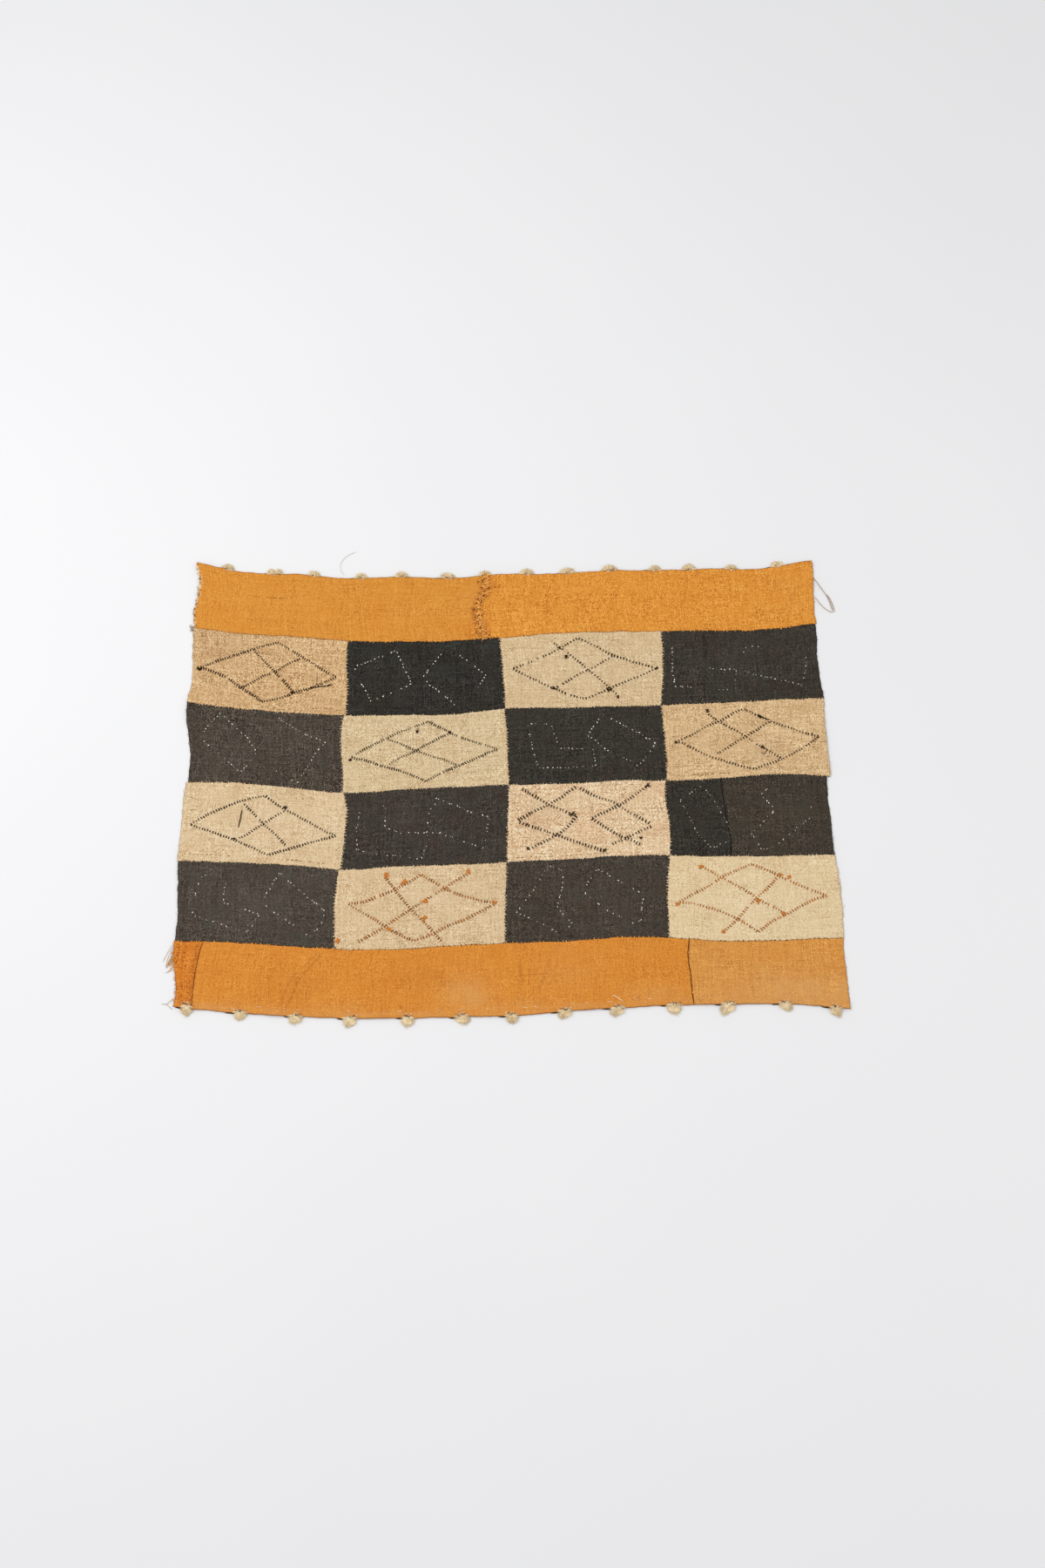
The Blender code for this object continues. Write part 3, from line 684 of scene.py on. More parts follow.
    deep = tuple(c * 0.80 for c in dark)
    bright = tuple(min(250.0, c * 1.06 + 4) for c in light)
    col = m.mix(m.ramp(value, -0.5, 0.0, smooth=False), srgb(*deep), srgb(*dark))
    col = m.mix(m.ramp(value, 0.0, 0.5, smooth=False), col, srgb(*mid))
    col = m.mix(m.ramp(value, 0.5, 1.0, smooth=False), col, srgb(*light))
    col = m.mix(m.ramp(value, 1.0, 1.5, smooth=False), col, srgb(*bright))
    shift = m.mix(1.0, col, m.mix(0.5, srgb(255, 255, 255), srgb(*[min(255, 255.0 * c / k) for c, k in zip(tint, mid)])),
                  'MULTIPLY')
    col = m.mix(m.ramp(patch, 0.42, 0.72, 0.0, min(1.0, 0.9 * mottle)), col, shift)
    col = m.mix(m.ramp(patch, 0.50, 0.78, 0.0, 0.35 * mottle), col, srgb(*tint))
    if cloud:
        veil = m.noise(m.combine(m.math('MULTIPLY', s, 26.0), m.math('MULTIPLY', t, 30.0), off + 41), 1.0, 4.0, 0.65)
        col = m.mix(m.ramp(veil, 0.44, 0.68, 0.0, 0.50), col, srgb(*cloud))
    col = m.mix(m.math('MULTIPLY', tone[0], 1.0, clamp=True), col, m.mix(0.35, srgb(*fade), col))

    # short dark slubs along the weft, and pale specks
    fl = m.noise(m.combine(m.math('MULTIPLY', s, 170.0), m.math('MULTIPLY', t, 560.0), off + 20), 1.0, 1.0, 0.5)
    fl2 = m.noise(m.combine(m.math('MULTIPLY', s, 20.0), m.math('MULTIPLY', t, 24.0), off + 25), 1.0, 2.0, 0.5)
    dark_fleck = m.math('MULTIPLY', m.ramp(fl, 0.62, 0.72), m.ramp(fl2, 0.40, 0.62, 0.20, 1.0))
    col = m.mix(m.math('MULTIPLY', dark_fleck, 0.75 * flecks), col, m.mix(0.62, srgb(*dark), srgb(*edge)))
    sp = m.noise(m.combine(m.math('MULTIPLY', s, 380.0), m.math('MULTIPLY', t, 330.0), off + 31), 1.0, 0.0, 0.5)
    col = m.mix(m.math('MULTIPLY', m.ramp(sp, 0.68, 0.78), pale), col, srgb(*[min(255, c * 1.18 + 14) for c in light]))

    # painted shade in the crevices between strands, then real stains with painted shade in the creases and seam
    # valleys, then painted shade on the rolled rims
    col = m.mix(m.ramp(weave, 0.05, 0.55, 0.24 * grain, 0.0), col, m.mix(0.45, srgb(*dark), srgb(*edge)))
    # tone[1]: real stains, and painted shade in the crease troughs and seam valleys
    col = m.mix(m.math('MULTIPLY', tone[1], 1.0, clamp=True), col, srgb(*edge))
    # tone[2]: painted shade on the rolled rims
    col = m.mix(m.math('MULTIPLY', tone[2], 1.0, clamp=True), col, m.mix(0.3, srgb(*edge), (0.004, 0.003, 0.002, 1)))
    m.link(col, m.shader.inputs["Base Color"])

    rough_v = m.math('MULTIPLY_ADD', m.math('SUBTRACT', along, 0.5), 0.25, rough)
    m.link(rough_v, m.shader.inputs["Roughness"])
    height = m.math('ADD', m.math('MULTIPLY', weave, 0.36),
                    m.math('ADD', m.math('MULTIPLY', along, 0.45), m.math('MULTIPLY', across, 0.40)))
    height = m.math('MULTIPLY_ADD', fine, 0.30, height)
    height = m.math('MULTIPLY_ADD', m.math('ADD', warp_tone, weft_tone), 0.40, height)
    height = m.math('MULTIPLY_ADD', single, 0.10 * grain, height)
    m.link(m.bump(height, 0.00045, 0.85), m.shader.inputs["Normal"])
    m.shader.inputs["Sheen Weight"].default_value = sheen
    m.shader.inputs["Sheen Roughness"].default_value = 0.5
    m.shader.inputs["Specular IOR Level"].default_value = gloss
    return m.mat


def thread(name, dark, light, rough=0.7, sheen=0.0, scale=900.0, deep=None, gloss=0.06):
    """Twisted or split raffia thread: shade runs from dark to light, and
    below zero from dark to deep."""
    m = Nodes(name)
    shade = m.attribute("shade").outputs["Fac"]
    texco = m.tree.nodes.new("ShaderNodeTexCoord").outputs["Object"]
    fine = m.noise(texco, scale, 2.0, 0.6)
    f = m.math('MULTIPLY_ADD', m.math('SUBTRACT', fine, 0.5), 0.9, shade, clamp=True)
    col = m.mix(f, srgb(*dark), srgb(*light))
    if deep:
        col = m.mix(m.ramp(shade, -0.9, -0.05, 1.0, 0.0), col, srgb(*deep))
    m.link(col, m.shader.inputs["Base Color"])
    m.link(m.ramp(fine, 0.2, 0.8, rough - 0.1, rough + 0.1), m.shader.inputs["Roughness"])
    m.link(m.bump(fine, 0.0002, 0.7), m.shader.inputs["Normal"])
    m.shader.inputs["Sheen Weight"].default_value = sheen
    m.shader.inputs["Specular IOR Level"].default_value = gloss
    return m.mat


# cloth looks: light, mid, dark, tint, fade
LOOKS = {
    "panel_1_1": dict(light=(234, 203, 158), mid=(209, 173, 126), dark=(170, 128, 82), tint=(194, 155, 108), fade=(228, 200, 160), flecks=0.95, pale=0.5, grain=1.25),
    "panel_1_3": dict(light=(238, 218, 182), mid=(216, 190, 148), dark=(180, 148, 106), tint=(207, 178, 134), fade=(236, 218, 188), flecks=0.6, pale=0.45, grain=0.85),
    "panel_2_2": dict(light=(239, 219, 182), mid=(218, 193, 153), dark=(182, 150, 108), tint=(211, 182, 138), fade=(238, 220, 190), flecks=0.6, pale=0.45, grain=0.95),
    "panel_2_4": dict(light=(238, 208, 165), mid=(214, 181, 136), dark=(174, 136, 92), tint=(200, 164, 118), fade=(232, 206, 168), flecks=0.9, pale=0.5, grain=1.05),
    "panel_3_1": dict(light=(239, 219, 182), mid=(219, 193, 153), dark=(184, 151, 109), tint=(209, 177, 135), fade=(238, 220, 190), flecks=0.5, pale=0.4, grain=0.85),
    "panel_3_3": dict(light=(244, 221, 186), mid=(220, 191, 151), dark=(176, 138, 98), tint=(208, 166, 126), fade=(238, 216, 186), flecks=0.95, pale=0.8, grain=0.88, pitch=1.9),
    "panel_4_2": dict(light=(239, 216, 176), mid=(220, 190, 147), dark=(186, 152, 108), tint=(212, 178, 132), fade=(238, 218, 184), flecks=0.45, pale=0.35, grain=0.95),
    "panel_4_4": dict(light=(242, 222, 184), mid=(225, 200, 157), dark=(192, 160, 116), tint=(218, 187, 142), fade=(240, 222, 190), flecks=0.4, pale=0.35, grain=0.72),
    "panel_1_2": dict(light=(82, 78, 70), mid=(50, 46, 41), dark=(25, 23, 21), tint=(52, 41, 34), fade=(76, 71, 65), cloud=(52, 54, 46)),
    "panel_1_4": dict(light=(86, 80, 71), mid=(55, 50, 44), dark=(30, 27, 24), tint=(58, 46, 38), fade=(80, 74, 67), cloud=(56, 58, 48)),
    "panel_2_1": dict(light=(104, 93, 82), mid=(69, 61, 53), dark=(41, 35, 30), tint=(76, 62, 51), fade=(98, 88, 79), cloud=(68, 66, 56), grain=1.3),
    "panel_2_3": dict(light=(84, 77, 69), mid=(53, 49, 43), dark=(28, 26, 23), tint=(56, 45, 38), fade=(78, 72, 65), cloud=(54, 55, 46)),
    "panel_3_2": dict(light=(90, 83, 74), mid=(58, 53, 47), dark=(32, 29, 26), tint=(62, 50, 42), fade=(84, 78, 71), cloud=(60, 60, 50)),
    "panel_3_4_left": dict(light=(79, 73, 65), mid=(50, 46, 41), dark=(27, 24, 22), tint=(51, 42, 36), fade=(74, 69, 62), cloud=(50, 51, 43)),
    "panel_3_4_right": dict(light=(94, 84, 72), mid=(60, 53, 45), dark=(34, 29, 25), tint=(68, 53, 42), fade=(86, 79, 70), cloud=(62, 60, 49)),
    "panel_4_1": dict(light=(104, 95, 84), mid=(71, 63, 54), dark=(42, 37, 32), tint=(76, 64, 54), fade=(100, 92, 84), cloud=(70, 69, 60)),
    "panel_4_3": dict(light=(98, 89, 78), mid=(66, 58, 50), dark=(38, 33, 29), tint=(72, 58, 48), fade=(92, 85, 77), cloud=(64, 63, 54)),
    "far_border_left": dict(light=(236, 172, 84), mid=(214, 143, 53), dark=(176, 98, 20), tint=(210, 133, 42), fade=(212, 154, 78)),
    "far_border_right": dict(light=(242, 176, 84), mid=(220, 144, 50), dark=(180, 100, 18), tint=(217, 137, 42), fade=(218, 158, 82), grain=0.80, pale=0.5, flecks=0.4),
    "near_border_middle": dict(light=(238, 168, 80), mid=(217, 139, 50), dark=(176, 94, 20), tint=(211, 128, 40), fade=(219, 172, 116)),
    "near_border_right": dict(light=(238, 178, 98), mid=(216, 147, 68), dark=(176, 104, 36), tint=(210, 137, 56), fade=(214, 166, 110), grain=0.55, pale=0.30, streak_along=1.6, streak_across=1.2, mottle=0.8),
    "near_border_end": dict(light=(230, 148, 56), mid=(208, 120, 34), dark=(160, 80, 16), tint=(192, 104, 26), fade=(212, 152, 82), grain=0.85, flecks=0.9, pale=0.35),
}
# how each cloth as a whole stands against the looks above
DIM = {"panel_1_1": (.985, .975, .965), "panel_1_3": (.970, .960, .953), "panel_2_2": (.960, .958, .950),
       "panel_2_4": (.985, .978, .972), "panel_3_1": (.975, .970, .967), "panel_4_2": (.968, .972, .985),
       "panel_4_4": (.982, .985, .987), "panel_1_2": (.88, .89, .90), "panel_1_4": (1.0, .99, .98),
       "panel_2_1": (1.0, .99, .99), "panel_3_2": (1.01, .985, .99), "panel_4_3": (.99, .98, .98),
       "panel_2_3": (.97, .965, .97), "panel_4_1": (.975, .965, .97),
       "far_border_left": (.982, .966, .92), "far_border_right": (.990, .978, .96),
       "near_border_middle": (.973, .958, .90), "near_border_right": (.975, .965, .93)}
# dark colour of each cloth, used for its slubs and stains and for the painted shade in crevices, creases, seams and
# rims
EDGE = {"natural": (104, 66, 36), "black": (14, 12, 11), "orange": (118, 56, 16)}
STYLE = {
    "natural": dict(rough=0.84),
    "black": dict(rough=0.92, flecks=0.30, pale=0.16, grain=0.88, streak_along=1.0, streak_across=0.8, mottle=1.2,
                  sheen=0.015, gloss=0.10),
    "orange": dict(rough=0.80, flecks=0.22, pale=0.30, grain=0.50, streak_along=1.25, streak_across=0.8, mottle=0.6,
                   sheen=0.03),
}

# worn and faded places: piece, share across, share along, half width mm,
# half height mm, strength
FADES = [
    ("near_border_middle", .55, .32, 40, 32, .80), ("near_border_middle", .28, .08, 60, 20, .40),
    ("near_border_middle", .62, .10, 120, 18, .40), ("near_border_middle", .93, .15, 60, 22, .45),
    ("near_border_middle", .75, .55, 50, 40, .20), ("near_border_right", .75, .16, 170, 46, .80),
    ("near_border_right", .15, .60, 40, 50, .20), ("near_border_middle", .12, .06, 80, 16, .35),
    ("far_border_left", .955, .72, 14, 30, .40), ("far_border_left", .30, .50, 90, 50, .15),
    ("far_border_right", .93, .5, 50, 50, .18), ("panel_2_1", .25, .35, 60, 40, .35),
    ("panel_2_1", .70, .60, 70, 40, .30), ("panel_4_1", .45, .50, 90, 50, .35),
    ("panel_4_1", .85, .80, 50, 30, .25), ("panel_4_3", .60, .40, 60, 50, .30),
    ("panel_3_2", .30, .60, 70, 40, .25), ("panel_1_2", .93, .88, 24, 20, .40),
    ("panel_1_4", .50, .60, 70, 40, .25), ("panel_3_4_right", .55, .55, 60, 50, .25),
    ("panel_3_1", .50, .50, 90, 40, .25), ("panel_4_4", .50, .50, 100, 50, .25),
    ("panel_4_2", .50, .70, 100, 40, .20), ("panel_1_3", .50, .50, 90, 40, .20),
]
# stains, and painted shade under the frayed join: same columns
STAINS = [
    ("panel_1_1", .80, .10, 60, 24, .10), ("panel_1_1", .18, .78, 90, 46, .17),
    ("panel_1_4", .66, .66, 12, 12, .20), ("panel_2_4", .60, .30, 26, 20, .18), ("panel_2_1", .03, .97, 10, 6, .90),
    # the far_border_left and far_border_right entries here are painted shade under the loops of the frayed join
    ("panel_3_3", .20, .60, 40, 30, .12), ("far_border_left", 1.0, .45, 9, 80, .85),
    ("far_border_right", .0, .45, 7, 80, .80), ("near_border_end", .88, .5, 8, 70, .20),
    ("near_border_middle", .20, .45, 60, 26, .10), ("near_border_middle", .46, .60, 70, 30, .10),
]


def stations(length, extra=()):
    """Shares of a length: close together at both ends, even between them."""
    ends = [0.0, 0.5, 1.2, 2.3]
    n = max(4, int(round((length - 2 * ends[-1]) / CELL)))
    middle = np.linspace(ends[-1], length - ends[-1], n + 1)
    rows = np.concatenate([ends[:-1], middle, [length - e for e in reversed(ends[:-1])], list(extra)])
    return np.unique(np.round(rows, 4)) / length


def build_sheet(node):
    far, near, left, right, cloth, hem = PIECES[node]
    mid = place(node, np.array([0.0, 1.0, 0.5, 0.5]), np.array([0.5, 0.5, 0.0, 1.0]))
    width = float(mid[0][1] - mid[0][0])
    height = float(mid[1][3] - mid[1][2])
    extra = ()
    if hem == "far":
        extra = [height - HEM_WIDTH + d for d in (-1.6, 0.0, 1.6)]
    if hem == "near":
        extra = [HEM_WIDTH + d for d in (-1.6, 0.0, 1.6)]
    us, vs = stations(width), stations(height, extra)
    U, V = np.meshgrid(us, vs, indexing="ij")
    x, y, low, top, edge = surfaces(node, U, V)

    # rims: free edges and hems are rounded off, top and bottom
    _, _, dl, dr, dn, df = from_edges(node, U, V)
    hem_edge = {"far": df, "near": dn}.get(hem, np.full_like(x, 99.0))
    free = np.full_like(x, 99.0)
    if left in FREE_EDGES:
        free = np.minimum(free, dl)
    if right in FREE_EDGES:
        free = np.minimum(free, dr)
    if hem == "far":
        free = np.minimum(free, df)
    if hem == "near":
        free = np.minimum(free, dn)
    thick = top - low
    low = low + 0.28 * thick * smooth_step(1 - free / 1.3)

    nu, nv = U.shape
    pts_top = np.stack([(x + SHIFT_X) * MM, (y + SHIFT_Y) * MM, top * MM], -1).reshape(-1, 3)
    pts_low = np.stack([(x + SHIFT_X) * MM, (y + SHIFT_Y) * MM, low * MM], -1).reshape(-1, 3)
    idx = np.arange(nu * nv).reshape(nu, nv)
    a, b, c, d = idx[:-1, :-1], idx[1:, :-1], idx[1:, 1:], idx[:-1, 1:]
    q_top = np.stack([a, b, c, d], -1).reshape(-1, 4)
    n = nu * nv
    q_low = np.stack([a, d, c, b], -1).reshape(-1, 4) + n
    rim = np.concatenate([idx[:-1, 0], idx[-1, :-1], idx[:0:-1, -1], idx[0, :0:-1]])
    nxt = np.roll(rim, -1)
    q_rim = np.stack([rim + n, nxt + n, nxt, rim], -1)
    style = dict(STYLE[cloth])
    style.update(LOOKS[node])
    for key in ("light", "mid", "dark", "tint", "fade"):
        style[key] = tuple(c * k for c, k in zip(style[key], DIM.get(node, (1, 1, 1))))
    mat = raffia("raffia_" + node, seed=name_seed(node) % 61 + 1, edge=EDGE[cloth], **style)
    obj = mesh_object("cloth_" + node, np.concatenate([pts_top, pts_low]),
                      np.concatenate([q_top, q_low, q_rim]), mat)

    # where the threads run, where the cloth is worn or stained, and where shade is painted on it
    weave = np.stack([U * width * MM, V * height * MM, np.zeros_like(U)], -1).reshape(-1, 3)
    weave = np.concatenate([weave, weave])
    fade = np.zeros_like(x)
    dirt_and_shade = np.zeros_like(x)
    for piece, cu, cv, hw, hh, power in FADES:
        if piece == node:
            fade = np.maximum(fade, power * np.exp(-(((U - cu) * width / hw) ** 2 + ((V - cv) * height / hh) ** 2)))
    fade = fade * (0.75 + 0.45 * layers(x, y, 26, 3, 71))
    if hem == "near":
        # the turned hem is rubbed paler than the rest
        fade = np.maximum(fade, 0.42 * smooth_step((HEM_WIDTH + 1 - dn) / 4.0) * (0.8 + 0.5 * layers(x, y, 30, 2, 75)))
    for piece, cu, cv, hw, hh, power in STAINS:
        if piece == node:
            dirt_and_shade = np.maximum(dirt_and_shade, power * np.exp(-(((U - cu) * width / hw) ** 2 + ((V - cv) * height / hh) ** 2)))
    # painted shade along the troughs of the creases
    for x0, y0, xm, ym, x1, y1, depth, half in CREASES:
        if depth < 0:
            a1, t1 = away_from(x, y, x0, y0, xm, ym)
            a2, t2 = away_from(x, y, xm, ym, x1, y1)
            dirt_and_shade = np.maximum(dirt_and_shade, min(0.62, -0.60 * depth) * smooth_step(1 - np.minimum(a1, a2) / 1.9))
    dirt_and_shade = dirt_and_shade * (0.7 + 0.6 * layers(x, y, 12, 3, 73))
    # painted shade in the seam valley, together with the dark of the join itself
    seam_shade_and_dirt = {"natural": 0.40, "black": 0.50, "orange": 0.62}[cloth]
    dirt_and_shade = np.maximum(dirt_and_shade, seam_shade_and_dirt * smooth_step(1 - edge / 1.5) * (0.8 + 0.4 * noise(x, y, 4, 79)))
    # painted shade on the rolled rims of the free edges and the hems
    rim_shade = {"natural": 0.25, "black": 0.5, "orange": 0.45}[cloth] * smooth_step(1 - free / 1.0)
    if hem:
        rim_shade = np.maximum(rim_shade, (0.72 if hem == "far" else 0.55) * smooth_step(1 - hem_edge / 1.6))
    tone = np.stack([np.clip(fade, 0, 1), np.clip(dirt_and_shade, 0, 1), np.clip(rim_shade, 0, 1)], -1).reshape(-1, 3)
    under = tone.copy()
    under[:, 2] = 0.0
    for label, data in (("weave", weave), ("tone", np.concatenate([tone, under]))):
        attr = obj.data.attributes.new(label, 'FLOAT_VECTOR', 'POINT')
        attr.data.foreach_set("vector", np.asarray(data, np.float32).ravel())
    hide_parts(node)
    flat_area = float(np.abs(np.sum((x[1:, :-1] - x[:-1, :-1]) * (y[:-1, 1:] - y[:-1, :-1]))))
    return obj, width * MM, height * MM


sheets = {}
for node in PIECES:
    sheets[node] = build_sheet(node)

# ------------------------------------------------------------------ threads
DARK = thread("thread_dark", (24, 15, 9), (92, 62, 38), 0.78)
RUST = thread("thread_rust", (84, 42, 12), (214, 128, 44), 0.74)
PALE = thread("thread_pale", (84, 76, 66), (252, 246, 230), 0.7)
STRAW = thread("thread_straw", (216, 170, 112), (255, 240, 204), 0.66, deep=(104, 64, 30))
TAN = thread("thread_tan", (128, 84, 46), (246, 222, 182), 0.7, deep=(70, 44, 24))
AMBER = thread("thread_amber", (150, 76, 16), (254, 186, 96), 0.68, deep=(108, 50, 12))
INK = thread("thread_ink", (14, 11, 9), (50, 42, 34), 0.8)
BROWN = thread("thread_brown", (58, 30, 10), (132, 76, 34), 0.78)


def stitch(bundle, centre, along, length, radius, rise, shade, sides=5):
    """Short threads that come up out of the cloth and go down again.
    centre (n, 3) on the cloth, along (n, 3) unit, sizes in metres."""
    n = len(centre)
    if n == 0:
        return
    t = np.array([-0.5, -0.36, 0.0, 0.36, 0.5])
    up = np.array([-0.35, 0.62, 1.0, 0.62, -0.35])
    thin = np.array([0.62, 0.95, 1.0, 0.95, 0.62])
    length = np.broadcast_to(length, (n,))
    rise = np.broadcast_to(rise, (n,))
    radius = np.broadcast_to(radius, (n,))
    path = centre[:, None, :] + along[:, None, :] * (length[:, None] * t)[:, :, None]
    path[:, :, 2] += rise[:, None] * up
    bundle.add(path, radius[:, None] * thin, np.array([0.0, 0.0, 1.0]), shade, sides, 0.75)


def walk(points, spacing, jitter, seed, closed=False):
    """Places every spacing mm along a polyline given in mm (k, 2)."""
    pts = np.asarray(points, float)
    if closed:
        pts = np.concatenate([pts, pts[:1]])
    seg = np.linalg.norm(np.diff(pts, axis=0), axis=1)
    s = np.concatenate([[0], np.cumsum(seg)])
    n = max(2, int(round(s[-1] / spacing)))
    r = np.random.RandomState(seed)
    at = (np.arange(n) + 0.5) / n * s[-1] + r.uniform(-jitter, jitter, n) * spacing
    at = np.clip(at, 0, s[-1])
    x = np.interp(at, s, pts[:, 0])
    y = np.interp(at, s, pts[:, 1])
    d = np.stack([np.interp(at + 2, s, pts[:, 0]) - np.interp(at - 2, s, pts[:, 0]),
                  np.interp(at + 2, s, pts[:, 1]) - np.interp(at - 2, s, pts[:, 1])], -1)
    d /= np.linalg.norm(d, axis=1, keepdims=True) + 1e-9
    return x, y, d, at / s[-1]


def panel_size(piece):
    m = place(piece, np.array([0.0, 1.0, 0.5, 0.5]), np.array([0.5, 0.5, 0.0, 1.0]))
    return float(m[0][1] - m[0][0]), float(m[1][3] - m[1][2])


def bowed(p, q, bow, n=7):
    t = np.linspace(0, 1, n)
    p, q = np.array(p), np.array(q)
    pts = p + (q - p) * t[:, None]
    pts[:, 1] += bow * 4 * t * (1 - t)
    return pts


def wander(pts, seed, size=0.012):
    """A hand-drawn unevenness on a polyline in shares, ends kept."""
    n = 14
    t = np.linspace(0, 1, len(pts))
    tt = np.linspace(0, 1, n)
    fine = np.stack([np.interp(tt, t, pts[:, 0]), np.interp(tt, t, pts[:, 1])], -1)
    hold = np.sin(np.pi * tt) ** 0.5
    fine[:, 1] += size * hold * noise(tt * 60, 0, 13, seed)
    fine[:, 0] += size * 0.5 * hold * noise(tt * 60, 0, 11, seed + 1)
    return fine


def sew_line(bundle, piece, shares, seed, spacing=4.9, length=4.4, radius=0.9, lean=95, fill=0.98,
             shade=(0.0, 0.5), heavier=0.22):
    """Short stitches set square across a line, with small gaps between."""
    w, h = panel_size(piece)
    x, y, d, _ = walk(shares * np.array([w, h]), spacing, 0.10, seed)
    r = np.random.RandomState(seed + 5)
    keep = r.rand(len(x)) < fill
    x, y, d = x[keep], y[keep], d[keep]
    n = len(x)
    x = x + r.normal(0, 0.22, n)
    y = y + r.normal(0, 0.22, n)
    turn = np.arctan2(d[:, 1], d[:, 0])
    turn = np.where(np.cos(turn) < 0, turn + np.pi, turn)
    a = turn + np.radians(lean) + r.normal(0, 0.15, n)
    along = np.stack([np.cos(a), np.sin(a), np.zeros(n)], -1)
    centre = top_at(piece, x / w, y / h)
    # heavier and lighter stretches, as the thread is drawn tighter or looser
    heavy = 1 + heavier * noise(x, y, 24, seed + 9)
    stitch(bundle, centre, along, length * MM * r.uniform(0.78, 1.18, n) * heavy,
           radius * MM * r.uniform(0.85, 1.15, n) * heavy, 0.75 * MM, r.uniform(*shade, n))


def knot(bundle, piece, u, v, size, seed, shade=(0.0, 0.6), radius=0.82):
    """A spiky knot: strokes that leave a tight middle on all sides."""
    r = np.random.RandomState(seed)
    w, h = panel_size(piece)
    n = 8
    size = size * 1.25
    a = r.uniform(0, 2 * np.pi) + np.arange(n) * 2.4 + r.normal(0, 0.4, n)
    reach = size * r.uniform(0.10, 0.42, n) * np.where(np.arange(n) % 3 == 0, 1.3, 0.7)
    x = u * w + np.cos(a) * reach
    y = v * h + np.sin(a) * reach
    along = np.stack([np.cos(a), np.sin(a), np.zeros(n)], -1)
    centre = top_at(piece, x / w, y / h)
    centre[:, 2] += r.uniform(0, 0.8, n) * MM
    stitch(bundle, centre, along, size * MM * r.uniform(0.50, 0.95, n), radius * MM * r.uniform(0.7, 1.2, n),
           0.8 * MM, r.uniform(*shade, n))


# spacing, length and radius of the stitches on each worked panel, in mm
SEWING = {"panel_1_1": (4.5, 4.9, 1.02), "panel_1_3": (6.0, 4.1, 1.12), "panel_2_2": (4.3, 4.5, 0.94),
          "panel_2_4": (5.4, 4.2, 1.00), "panel_3_1": (5.0, 4.5, 1.06), "panel_4_2": (5.0, 5.2, 0.98),
          "panel_4_4": (5.0, 4.8, 0.95)}
dark_work, rust_work, pale_work = Bundle(), Bundle(), Bundle()
for number, (piece, row) in enumerate(LOZENGES.items()):
    left, far, right, near, f0, f1, r0, r1, bows, colour = row
    work = dark_work if colour == "dark" else rust_work
    lines = [bowed(left, far, bows[0]), bowed(far, right, bows[1]), bowed(left, near, bows[2]),
             bowed(near, right, bows[3]), bowed(f0, f1, 0.0), bowed(r0, r1, 0.0)]
    shade = (0.0, 0.40) if colour == "dark" else (0.12, 0.66) if piece == "panel_4_2" else (0.30, 0.80)
    spacing, length, radius = SEWING[piece]
    for k, line in enumerate(lines):
        sew_line(work, piece, wander(line, 100 + number * 10 + k), 300 + number * 10 + k, spacing, length, radius,
                 shade=shade, lean=94 if k % 2 == 0 else 99)
for k, line in enumerate(CHEVRONS):
    sew_line(dark_work, "panel_3_3", wander(np.array(line), 900 + k), 930 + k, spacing=5.6, length=5.6,
             radius=1.05, lean=96, shade=(0.0, 0.5))
for k, (piece, u, v, size) in enumerate(KNOTS):
    if piece in ("panel_4_2", "panel_4_4"):
        knot(rust_work, piece, u, v, size, 1500 + k, (0.75, 1.15), 1.1 if piece == "panel_4_2" else 0.9)
    else:
        knot(dark_work, piece, u, v, size, 1500 + k, (0.0, 0.5))
# old running threads: brown dashes near the seams of two light panels
for piece, line, sd in (("panel_1_1", ((.46, .05), (.56, .05)), 1611), ("panel_1_1", ((.78, .07), (.97, .09)), 1612),
                        ("panel_3_1", ((.03, .09), (.32, .08)), 1613), ("panel_3_1", ((.66, .07), (.90, .06)), 1614),
                        ("panel_3_1", ((.055, .62), (.05, .88)), 1615), ("panel_2_4", ((.10, .06), (.45, .07)), 1616),
                        ("panel_3_3", ((.05, .05), (.60, .05)), 1617)):
    sew_line(rust_work, piece, np.array(line), sd, 8.0, 4.2, 0.50, 4, 0.75, (0.0, 0.6), 0.5)
# a run of thicker doubled stitches, and one thread left lying across a panel
sew_line(dark_work, "panel_1_1", np.array([(.76, .335), (.82, .36), (.90, .395)]), 1601, 3.4, 4.6, 0.85, 25, 1.0, (0.0, 0.2))
sew_line(dark_work, "panel_2_4", np.array([(.595, .80), (.62, .77), (.66, .73)]), 1602, 3.2, 4.6, 0.85, 40, 1.0, (0.0, 0.2))
sew_line(dark_work, "panel_2_2", np.array([(.46, .74), (.461, .77), (.462, .81)]), 1603, 2.2, 3.4, 0.9, 80, 1.0, (0.0, 0.2))



def laid(bundle, piece, shares, radius, shade, lift=0.7, k=12):
    """A thread end lying on a piece through places given as shares."""
    p = np.asarray(shares, float)
    t, at = np.linspace(0, 1, k), np.linspace(0, 1, len(p))
    path = top_at(piece, np.interp(t, at, p[:, 0]), np.interp(t, at, p[:, 1]))
    path[:, 2] += lift * MM * np.clip(np.sin(np.pi * t) * 2.5, 0.1, 1)
    rad = radius * MM * np.clip(np.sin(np.pi * t) * 3 + 0.5, 0.5, 1)
    bundle.add(path[None], rad[None], np.array([0.0, 0.0, 1.0]), shade, 6)


laid(dark_work, "panel_3_1", [(.362, .66), (.358, .55), (.350, .43)], 1.05, 0.55, 1.0)
laid(dark_work, "panel_2_4", [(.60, .37), (.625, .34), (.61, .27), (.585, .30)], 0.55, 0.6)
laid(dark_work, "panel_1_1", [(.80, .37), (.803, .45), (.806, .56)], 0.35, 0.9, 0.3)
laid(dark_work, "panel_1_1", [(.03, .47), (.045, .44), (.06, .46)], 0.9, 0.0, 0.8, 8)

